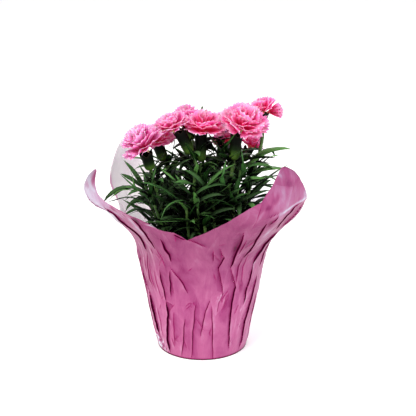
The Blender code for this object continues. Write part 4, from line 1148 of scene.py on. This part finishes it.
shootSizes = {
    "flowerStem": 1.5, "shootStem": 1.2, "jointSwell": 1.35, "swellReach": 2.5, "leafParts": 9,
    # Share of the length and share of the full half width, from the joint to the tip.
    "taper": ((0.0, 0.34), (0.12, 0.62), (0.32, 0.96), (0.50, 1.0), (0.70, 0.80), (0.88, 0.42),
              (1.0, 0.03)),
    # A leaf's least and greatest half width and length, the degrees it rises at and bends by,
    # and how far it is turned at random round the stem and twisted, in radians.
    "halfWidth": (2.3, 3.7), "length": (32, 58), "rise": (25, 72), "bend": (25, 95),
    "stray": 0.5, "twist": 1.4, "seed": 5, "tries": 20,
    # Each kind of stem: its pairs of leaves, the share of the stem that they reach up to, and
    # their scale; then the share that is bare and the turn from pair to pair, in radians.
    "pairs": {"flowering": (12, 0.90, 0.85), "front": (9, 1.0, 1.0), "back": (16, 1.0, 1.0)},
    "bareStem": 0.24, "pairTurn": 1.7,
    # The room kept round a leaf in millimetres, from the cover, the flowers and other leaves; how
    # far forward it may reach; and the ceiling as (radius, height beyond it, height within it).
    "coverGap": 5.0, "flowerGap": 1.4, "leafGap": 1.1, "forward": -64, "ceiling": (45, 204, 222),
    # The leaves given one by one, and the parts that a stem and a leaf are smoothed in.
    "frontHalfWidth": 3.9, "frontTwist": 0.9, "placedTwist": 0.6, "stemParts": 8, "spineParts": 6,
    # The leafy shoots in all, how far a stem runs straight up from the mix, and how far the
    # shoots behind lean out, by share, and rise.
    "leafyShoots": 22, "straightUp": 7, "leanOut": (1.25, 1.8), "shootHeight": (52, 88),
    # A flower's stem: how far it stops below its calyx, how long it is straight there, and how
    # far over and how high it bends.
    "stemShort": 0.6, "stemStraight": 12, "bendShare": 0.45, "bendHeight": 138,
    # Where the stems of flower 10 and of the bud bend, as in the solids.
    "stemBends": {10: ((46, 2, 160), (58, 6, 206)), "bud": ((1, 21, 140), (1, 26, 190))},
    # The shoots at the front, as in the solids: the stem's points, then each leaf's.
    "front": (
        (((31, -16, 145), (38, -15, 188)), (
            ((32, -16, 150), (47, -32, 160), (52, -42, 152)),
            ((36, -15, 176), (46, -25, 184), (61, -28, 184)),
            ((37, -15, 182), (60, -8, 188), (80, -2, 187)),
            ((38, -15, 188), (60, -2, 203), (78, 3, 206), (89, 6, 204)))),
        (((-40, -30, 140), (-50, -31, 172)), (
            ((-38, -29, 136), (-50, -44, 146), (-60, -52, 143)),
            ((-46, -31, 158), (-69, -40, 169), (-90, -45, 165)),
            ((-50, -31, 170), (-64, -35, 184), (-77, -37, 191)))),
        (((-48, -12, 145), (-55, -13, 172)), (
            ((-48, -12, 146), (-64, -16, 150), (-78, -22, 144)),
            ((-54, -13, 166), (-73, -14, 171), (-89, -16, 161)))),
        (((-6, -34, 130), (-6, -40, 168)), (
            ((-6, -37, 143), (-25, -50, 149), (-53, -58, 149)),
            ((-6, -39, 160), (-20, -50, 169), (-33, -58, 165), (-39, -62, 151)),
            ((-6, -40, 166), (-14, -46, 179), (-25, -50, 194)))),
        (((4, -40, 125), (3, -46, 142)), (
            ((4, -42, 130), (16, -54, 139), (26, -61, 134)),
            ((3, -46, 141), (5, -54, 151), (8, -60, 157)))),
        (((12, -32, 135), (11, -36, 164)), (
            ((12, -33, 140), (24, -46, 150), (34, -55, 146)),
            ((11, -36, 162), (19, -42, 175), (29, -48, 185)))),
        (((30, -30, 130), (30, -32, 158)), (
            ((30, -30, 133), (44, -44, 141), (55, -50, 137)),
            ((30, -32, 156), (30, -45, 168), (26, -52, 180))))),
    # Single leaves, each grown from the nearest stem: half width, then its points.
    "placed": (
        (3.6, ((24, -6, 201), (14, -10, 214), (5, -12, 226))),
        (2.2, ((25, -11, 207), (20, -14, 217), (15, -15, 223))),
        (3.0, ((20, -8, 204), (25, -14, 215), (33, -20, 227))),
        (2.4, ((-15, -2, 205), (-12, -4, 214), (-9, -5, 221))),
        (3.0, ((-5, -14, 198), (-10, -21, 209), (-16, -25, 219))),
        (2.2, ((48, 6, 199), (53, 2, 209), (58, 2, 218))),
        (1.9, ((43, -4, 195), (55, -6, 204), (68, -6, 208), (87, -4, 208))),
        (2.0, ((27, -18, 202), (42, -22, 211), (62, -22, 211))),
        (2.6, ((40, -24, 183), (40, -28, 199), (38, -26, 211))),
        (2.4, ((44, -14, 182), (60, -18, 193), (81, -16, 191))),
        (2.4, ((47, -20, 179), (64, -24, 185), (76, -24, 178))),
        (3.0, ((3, -34, 188), (10, -38, 198), (16, -40, 195))),
        (3.0, ((-50, -28, 182), (-56, -32, 193), (-60, -34, 200))),
        (2.6, ((-50, -36, 168), (-47, -40, 186), (-43, -38, 198))),
        (2.2, ((-30, -8, 199), (-28, -8, 208), (-26, -8, 219))),
        (1.2, ((-38, -16, 203), (-32, -18, 212), (-26, -18, 219))),
        (3.8, ((-49, -40, 166), (-62, -46, 180), (-77, -48, 194))),
        (2.0, ((-62, -40, 178), (-65, -42, 188), (-68, -42, 200))),
        (2.2, ((-40, -30, 178), (-49, -34, 188), (-62, -38, 193))),
        (2.6, ((-6, -30, 188), (-4, -34, 199), (-8, -34, 207))),
        (3.2, ((-17, -44, 177), (-26, -50, 190), (-39, -50, 200))),
        (2.8, ((21, -40, 174), (19, -46, 189), (23, -44, 206))),
        (2.8, ((33, -36, 176), (36, -40, 189), (48, -40, 200))),
        (3.0, ((-26, -46, 168), (-34, -50, 178), (-46, -52, 186))),
        (2.4, ((-77, -30, 173), (-86, -36, 168), (-94, -40, 160))),
    ),
}


def shootTree():
    # Spline 0 is the stem, swept with a round section; the rest are leaves, swept with a keeled
    # channel. A point's radius is the stem's radius or the leaf's half width.
    tree, get = newTree("sweptShoot", {
        "Geometry": ("Geometry", None), "Channel": ("Float", 0.20), "Thickness": ("Float", 0.075),
        "Seed": ("Int", 1), "Young": ("Int", 0), "Leaf": ("Material", None),
        "Stem": ("Material", None)})
    upright = addNode(tree, "GeometryNodeSetCurveNormal", {0: get["Geometry"]}, mode="Z_UP")
    index = addNode(tree, "GeometryNodeInputIndex")
    isStem = addNode(tree, "ShaderNodeMath", [index, 0.5], operation="LESS_THAN")
    parts = addNode(tree, "GeometryNodeSeparateGeometry", {0: upright, 1: isStem}, domain="CURVE")
    radius = addNode(tree, "GeometryNodeInputRadius")

    ring = addNode(tree, "GeometryNodeCurvePrimitiveCircle", {0: 8, 4: 1.0})
    stems = addNode(tree, "GeometryNodeCurveToMesh", {
        0: parts.outputs[0], 1: ring, 2: radius, "Fill Caps": True})
    stems = addNode(tree, "GeometryNodeSetMaterial", {0: stems, 2: get["Stem"]})

    position = addNode(tree, "GeometryNodeInputPosition")
    spot = addNode(tree, "ShaderNodeSeparateXYZ", [position]).outputs
    across = addNode(tree, "GeometryNodeStoreNamedAttribute", {0: ring, 2: "across", 3: spot[0]},
                     data_type="FLOAT", domain="POINT")
    face = addNode(tree, "GeometryNodeStoreNamedAttribute", {0: across, 2: "face", 3: spot[1]},
                   data_type="FLOAT", domain="POINT")
    side = addNode(tree, "ShaderNodeMath", [spot[0]], operation="ABSOLUTE")
    channel = addNode(tree, "ShaderNodeMath", [side, get["Channel"]], operation="MULTIPLY")
    walls = addNode(tree, "ShaderNodeMath", [spot[1], get["Thickness"], channel],
                    operation="MULTIPLY_ADD")
    keeled = addNode(tree, "ShaderNodeCombineXYZ", [spot[0], walls, 0.0])
    profile = addNode(tree, "GeometryNodeSetPosition", {0: face, 2: keeled})
    along = addNode(tree, "GeometryNodeSplineParameter")
    marked = addNode(tree, "GeometryNodeStoreNamedAttribute", {
        0: parts.outputs[1], 2: "along", 3: along}, data_type="FLOAT", domain="POINT")
    # The first leaves of a shoot, its young ones, are light; the rest have any tint.
    chance = addNode(tree, "FunctionNodeRandomValue", {2: 0.0, 3: 1.0, 8: get["Seed"]})
    young = addNode(tree, "ShaderNodeMath", [index, get["Young"]], operation="LESS_THAN")
    lighter = addNode(tree, "ShaderNodeMath", [chance, 0.45, 0.52], operation="MULTIPLY_ADD")
    tint = addNode(tree, "ShaderNodeMix", {0: young, 2: chance, 3: lighter})
    tinted = addNode(tree, "GeometryNodeStoreNamedAttribute", {0: marked, 2: "tint", 3: tint},
                     data_type="FLOAT", domain="CURVE")
    leaves = addNode(tree, "GeometryNodeCurveToMesh", {
        0: tinted, 1: profile, 2: radius, "Fill Caps": True})
    leaves = addNode(tree, "GeometryNodeSetMaterial", {0: leaves, 2: get["Leaf"]})
    both = addNode(tree, "GeometryNodeJoinGeometry", [[leaves, stems]])
    closeTree(tree, addNode(tree, "GeometryNodeSetShadeSmooth", [both]))
    return tree


def smoothPath(points, parts):
    # A smooth curve through the given points, each span of it in the given number of parts.
    points = [Vector(p) for p in points]
    ends = [2 * points[0] - points[1], *points, 2 * points[-1] - points[-2]]
    path = []
    for i in range(len(points) - 1):
        a, b, c, d = ends[i:i + 4]
        for t in (step / parts for step in range(parts)):
            path.append(0.5 * ((2 * b) + (c - a) * t + (2 * a - 5 * b + 4 * c - d) * t * t
                               + (3 * b - a - 3 * c + d) * t ** 3))
    return [*path, points[-1]]


def evenly(path, count):
    # The same path in a number of equal steps.
    lengths = [0.0]
    for a, b in zip(path, path[1:]):
        lengths.append(lengths[-1] + (b - a).length)
    shares = np.linspace(0, lengths[-1], count)
    columns = [np.interp(shares, lengths, [p[i] for p in path]) for i in range(3)]
    return [Vector(p) for p in zip(*columns)]


def archedSpine(start, azimuth, length, rise, fall):
    # A leaf's middle line: it leaves at an angle of rise degrees and bends down to fall.
    steps = shootSizes["leafParts"] - 1
    points = [Vector(start)]
    for i in range(steps):
        share = (i + 0.5) / steps
        tilt = math.radians(rise + (fall - rise) * share ** 1.3)
        points.append(points[-1] + Vector((
            math.cos(azimuth) * math.cos(tilt), math.sin(azimuth) * math.cos(tilt),
            math.sin(tilt))) * length / steps)
    return points


def hits(tree, spine, gap):
    # Whether a spine, in millimetres, crosses a surface or comes within a gap of it.
    for a, b in zip(spine[1:], spine[2:]):
        step = b - a
        if tree.ray_cast(a * mm, step.normalized(), step.length * mm)[0] is not None:
            return True
        if tree.find_nearest(b * mm, gap * mm)[0] is not None:
            return True
    return False


def roomFor(spine, room):
    s = shootSizes
    far, low, high = s["ceiling"]
    if hits(room["cover"], spine, s["coverGap"]) or any(
            p.y < s["forward"] or p.z > (low if math.hypot(p.x, p.y) > far else high)
            for p in spine):
        return False
    if any(hits(tree, spine, s["flowerGap"]) for tree in room["flowers"]):
        return False
    if room["leaves"]:
        others = np.array(room["leaves"])
        for p in spine[3:]:
            if np.min(np.sum((others - np.array(p)) ** 2, axis=1)) < s["leafGap"] ** 2:
                return False
    return True


def addLeaf(shoot, spine, halfWidth, twist, room):
    shoot["leaves"].append((spine, halfWidth, twist))
    room["leaves"] += [tuple(p) for p in spine[2:]]


def growPair(shoot, joint, azimuth, rng, room, scale):
    # Two opposite leaves at a joint. A leaf with no room is tried again, shorter and turned.
    s = shootSizes
    for turn in (0, math.pi):
        for attempt in range(s["tries"]):
            length = rng.uniform(*s["length"]) * scale * (1 - attempt / (2.2 * s["tries"]))
            rise = rng.uniform(*s["rise"])
            stray = rng.uniform(-s["stray"], s["stray"])
            spine = archedSpine(joint, azimuth + turn + stray, length, rise,
                                rise - rng.uniform(*s["bend"]))
            if roomFor(spine, room):
                width = rng.uniform(*s["halfWidth"]) * min(1, length / 40)
                addLeaf(shoot, spine, width, rng.uniform(-s["twist"], s["twist"]), room)
                break


def soilPoint(name):
    points = nodePoints(name)
    low = points[points[:, 2] < points[:, 2].min() + 0.0004]
    return Vector(low.mean(axis=0)) / mm


def pointAt(path, share):
    place = share * (len(path) - 1)
    i = min(int(place), len(path) - 2)
    return path[i].lerp(path[i + 1], place - i)


def shootCurve(name, shoot):
    # The stem and the leaves of a shoot as the splines of one curve, in metres.
    s = shootSizes
    curve = bpy.data.curves.new(name, "CURVE")
    curve.dimensions = "3D"
    stem = evenly(shoot["stem"], 2 * len(shoot["joints"]) + 15)
    stemWidths = []
    for p in stem:
        near = min([(p - joint).length for joint in shoot["joints"]] or [99])
        swell = (s["jointSwell"] - 1) * math.exp(-(near / s["swellReach"]) ** 2)
        stemWidths.append(shoot["radius"] * (1 + swell))
    strands = [(stem, stemWidths, 0.0)]
    for spine, halfWidth, twist in shoot["leaves"]:
        spine = evenly(spine, s["leafParts"])
        taper = tableAt(np.linspace(0, 1, len(spine)), s["taper"])
        strands.append((spine, taper * halfWidth, twist))
    for points, widths, twist in strands:
        line = curve.splines.new("POLY")
        line.points.add(len(points) - 1)
        for i, (point, place, width) in enumerate(zip(line.points, points, widths)):
            point.co = (*(place * mm), 1)
            point.radius = width * mm
            point.tilt = twist * i / len(points)
    return curve


def newShoot(soil, radius, *points):
    # A stem that leaves the mix straight up and goes on through the points, still without leaves.
    s = shootSizes
    stem = smoothPath([soil, soil + Vector((0, 0, s["straightUp"])), *points], s["stemParts"])
    return {"stem": stem, "radius": radius, "joints": [], "leaves": []}


def makeShoots(leafPaint, stemPaint, coverTree):
    s = shootSizes
    rng = random.Random(s["seed"])
    solids = [BVHTree.FromPolygons([v.co for v in item.data.vertices],
                                   [tuple(f.vertices) for f in item.data.polygons])
              for name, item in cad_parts.items() if name.endswith(("_petals", "_calyx"))]
    room = {"cover": coverTree, "flowers": solids, "leaves": []}
    shoots = {}

    for number, (stem, leaves) in enumerate(s["front"], 1):
        name = f"leafy_shoot_{number:02d}"
        shoots[name] = shoot = newShoot(soilPoint(name), s["shootStem"], *stem)
        for points in leaves:
            spine = evenly(smoothPath(points, s["spineParts"]), s["leafParts"])
            twist = rng.uniform(-s["frontTwist"], s["frontTwist"])
            addLeaf(shoot, spine, s["frontHalfWidth"], twist, room)
            shoot["joints"].append(spine[0])

    for number in range(1, flowerSizes["flowers"] + 1):
        name = f"flower_{number:02d}_stem"
        foot, mouth, _ = calyxAxis(number)
        axis = (mouth - foot).normalized()
        top = foot / mm - axis * s["stemShort"]
        soil = soilPoint(name)
        x, y = ((1 - s["bendShare"]) * a + s["bendShare"] * b for a, b in zip(soil.xy, top.xy))
        low = Vector((x, y, s["bendHeight"]))
        bends = s["stemBends"].get(number, (low, top - axis * s["stemStraight"]))
        shoots[name] = newShoot(soil, s["flowerStem"], *bends, top)
    shoots["bud_01_stem"] = newShoot(soilPoint("bud_01_stem"), s["shootStem"],
                                     *s["stemBends"]["bud"], calyxAxis(1, "bud")[0] / mm)

    for number in range(len(s["front"]) + 1, s["leafyShoots"] + 1):
        name = f"leafy_shoot_{number:02d}"
        soil = soilPoint(name)
        out = rng.uniform(*s["leanOut"])
        tip = Vector((soil.x * out, soil.y * out, soil.z + rng.uniform(*s["shootHeight"])))
        middle = (soil + tip) / 2 + Vector((0, 0, 3))
        shoots[name] = newShoot(soil, s["shootStem"], middle, tip)

    for halfWidth, points in s["placed"]:
        first = Vector(points[0])
        name, joint = min(((name, p) for name, shoot in shoots.items() for p in shoot["stem"]),
                          key=lambda one: (one[1] - first).length + 2 * max(0, one[1].z - first.z))
        spine = evenly(smoothPath([joint, *points], s["spineParts"]), s["leafParts"])
        twist = rng.uniform(-s["placedTwist"], s["placedTwist"])
        addLeaf(shoots[name], spine, halfWidth, twist, room)

    for number, (name, shoot) in enumerate(shoots.items()):
        kind = ("flowering" if not name.startswith("leafy")
                else "front" if number < len(s["front"]) else "back")
        pairs, leafyTo, scale = s["pairs"][kind]
        shoot["young"] = len(shoot["leaves"])
        azimuth = rng.uniform(0, math.pi)
        for level in range(pairs):
            up = leafyTo - (leafyTo - s["bareStem"]) * level / pairs
            joint = pointAt(shoot["stem"], up)
            shoot["joints"].append(joint)
            growPair(shoot, joint, azimuth + level * s["pairTurn"], rng, room, scale)

    tree = shootTree()
    leafCount = 0
    for number, (name, shoot) in enumerate(shoots.items()):
        values = {"Seed": number, "Young": shoot["young"], "Leaf": leafPaint, "Stem": stemPaint}
        mesh = treeMesh(name + "_foliage", tree, values, source=shootCurve(name + "_curve", shoot))
        placePiece(name + "_foliage", mesh, "leaf", name)
        leafCount += len(shoot["leaves"])
    print("shoots made:", len(shoots), "with", leafCount, "leaves")


# Potting mix and nursery pot

mixSizes = {
    "rings": 22, "columns": 72, "bump": 1.6, "lump": 9, "smallLump": 3.5,
    "crumbs": 95000, "crumb": 1.25, "chalk": 2500, "seed": 3,
    # How far the body's skin lies inside the solid's: at its edge and under its top.
    "edgeInset": 0.3, "topInset": 1.2,
    # The two kinds of grain: the count's input, the material's and the least and greatest scale.
    "grains": (("Crumbs", "Peat", 0.4, 1.6), ("Chalk", "Perlite", 0.8, 1.7)),
}


def crumbTree():
    # Crumbs and a few perlite grains scattered over the upper faces of the mix.
    tree, get = newTree("mixCrumbs", {
        "Geometry": ("Geometry", None), "Crumbs": ("Float", 90000.0), "Chalk": ("Float", 2500.0),
        "Size": ("Float", 0.001), "Seed": ("Int", 1), "Peat": ("Material", None),
        "Perlite": ("Material", None)})
    normal = addNode(tree, "GeometryNodeInputNormal")
    up = addNode(tree, "ShaderNodeSeparateXYZ", [normal]).outputs[2]
    top = addNode(tree, "ShaderNodeMath", [up, 0.6], operation="GREATER_THAN")
    grain = addNode(tree, "GeometryNodeMeshIcoSphere", [get["Size"], 1])
    shapes = [addNode(tree, "GeometryNodeSetMaterial", {0: get["Geometry"], 2: get["Peat"]})]
    for count, paint, low, high in mixSizes["grains"]:
        spots = addNode(tree, "GeometryNodeDistributePointsOnFaces", {
            0: get["Geometry"], 1: top, 4: get[count], 6: get["Seed"]})
        size = addNode(tree, "FunctionNodeRandomValue", {
            0: (low, low, low * 0.7), 1: (high, high, high * 0.8), 8: get["Seed"]},
            data_type="FLOAT_VECTOR")
        turn = addNode(tree, "FunctionNodeRandomValue", {
            0: (0, 0, 0), 1: (math.tau, math.tau, math.tau), 8: get["Seed"]},
            data_type="FLOAT_VECTOR")
        grains = addNode(tree, "GeometryNodeInstanceOnPoints", {
            0: spots, 2: grain, 5: turn, 6: size})
        shapes.append(addNode(tree, "GeometryNodeSetMaterial", {
            0: addNode(tree, "GeometryNodeRealizeInstances", [grains]), 2: get[paint]}))
    closeTree(tree, addNode(tree, "GeometryNodeJoinGeometry", [shapes]))
    return tree


def makeMix(peat, perlite):
    # The mix keeps the solid's outline; its top is lumpy and strewn with crumbs.
    s = mixSizes
    points = nodePoints("potting_mix") / mm
    across = np.hypot(points[:, 0], points[:, 1])
    foot, top = points[:, 2].min(), points[:, 2].max()
    edge = across.max() - s["edgeInset"]
    footRadius = across[points[:, 2] < foot + 0.2].max()
    edgeHeight = points[across > across.max() - 0.5][:, 2].max()
    profile = []
    for i in range(s["rings"]):
        r = edge * i / (s["rings"] - 1)
        fall = (top - edgeHeight) * (r / edge) ** 3
        profile.append((r, top - s["topInset"] - fall))
    profile += [(footRadius + (edge - footRadius) * t, foot + (edgeHeight - foot) * t)
                for t in (0.75, 0.5, 0.25, 0.0)]
    verts = [(0, 0, profile[0][1])]
    for r, z in profile[1:]:
        for i in range(s["columns"]):
            turn = math.tau * i / s["columns"]
            spot = Vector((r * math.cos(turn), r * math.sin(turn), z))
            if r < edge - 2 and z > edgeHeight:
                spot.z += (noise.noise(spot / s["lump"]) * s["bump"]
                           + noise.noise(spot / s["smallLump"]) * s["bump"] / 2)
            verts.append(tuple(spot))
    verts.append((0, 0, foot))
    rings, n = len(profile) - 1, s["columns"]
    faces = [(0, 1 + i, 1 + (i + 1) % n) for i in range(n)]
    for ring in range(rings - 1):
        a = 1 + ring * n
        faces += [(a + i, a + n + i, a + n + (i + 1) % n, a + (i + 1) % n) for i in range(n)]
    a = 1 + (rings - 1) * n
    faces += [(a + i, len(verts) - 1, a + (i + 1) % n) for i in range(n)]
    mesh = bpy.data.meshes.new("mixBody")
    mesh.from_pydata([Vector(v) * mm for v in verts], [], faces)
    mesh.shade_smooth()
    values = {"Crumbs": float(s["crumbs"]), "Chalk": float(s["chalk"]), "Size": s["crumb"] * mm,
              "Seed": s["seed"], "Peat": peat, "Perlite": perlite}
    made = treeMesh("potting_mix_crumbs", crumbTree(), values, source=mesh)
    placePiece("potting_mix_crumbs", made, "potting_mix", "potting_mix")
    print("potting mix made")


def finishPot(plastic):
    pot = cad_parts["nursery_pot"]
    for slot in pot.material_slots:
        slot.material = plastic


makeStage()
coverTree = makeCover(pearlFoil(), backingPaper())
makeFlowers(petalMaterial(), calyxMaterial())
makeShoots(leafMaterial(), stemMaterial(), coverTree)
makeMix(peatMaterial(), perliteMaterial())
finishPot(mouldedPlastic())
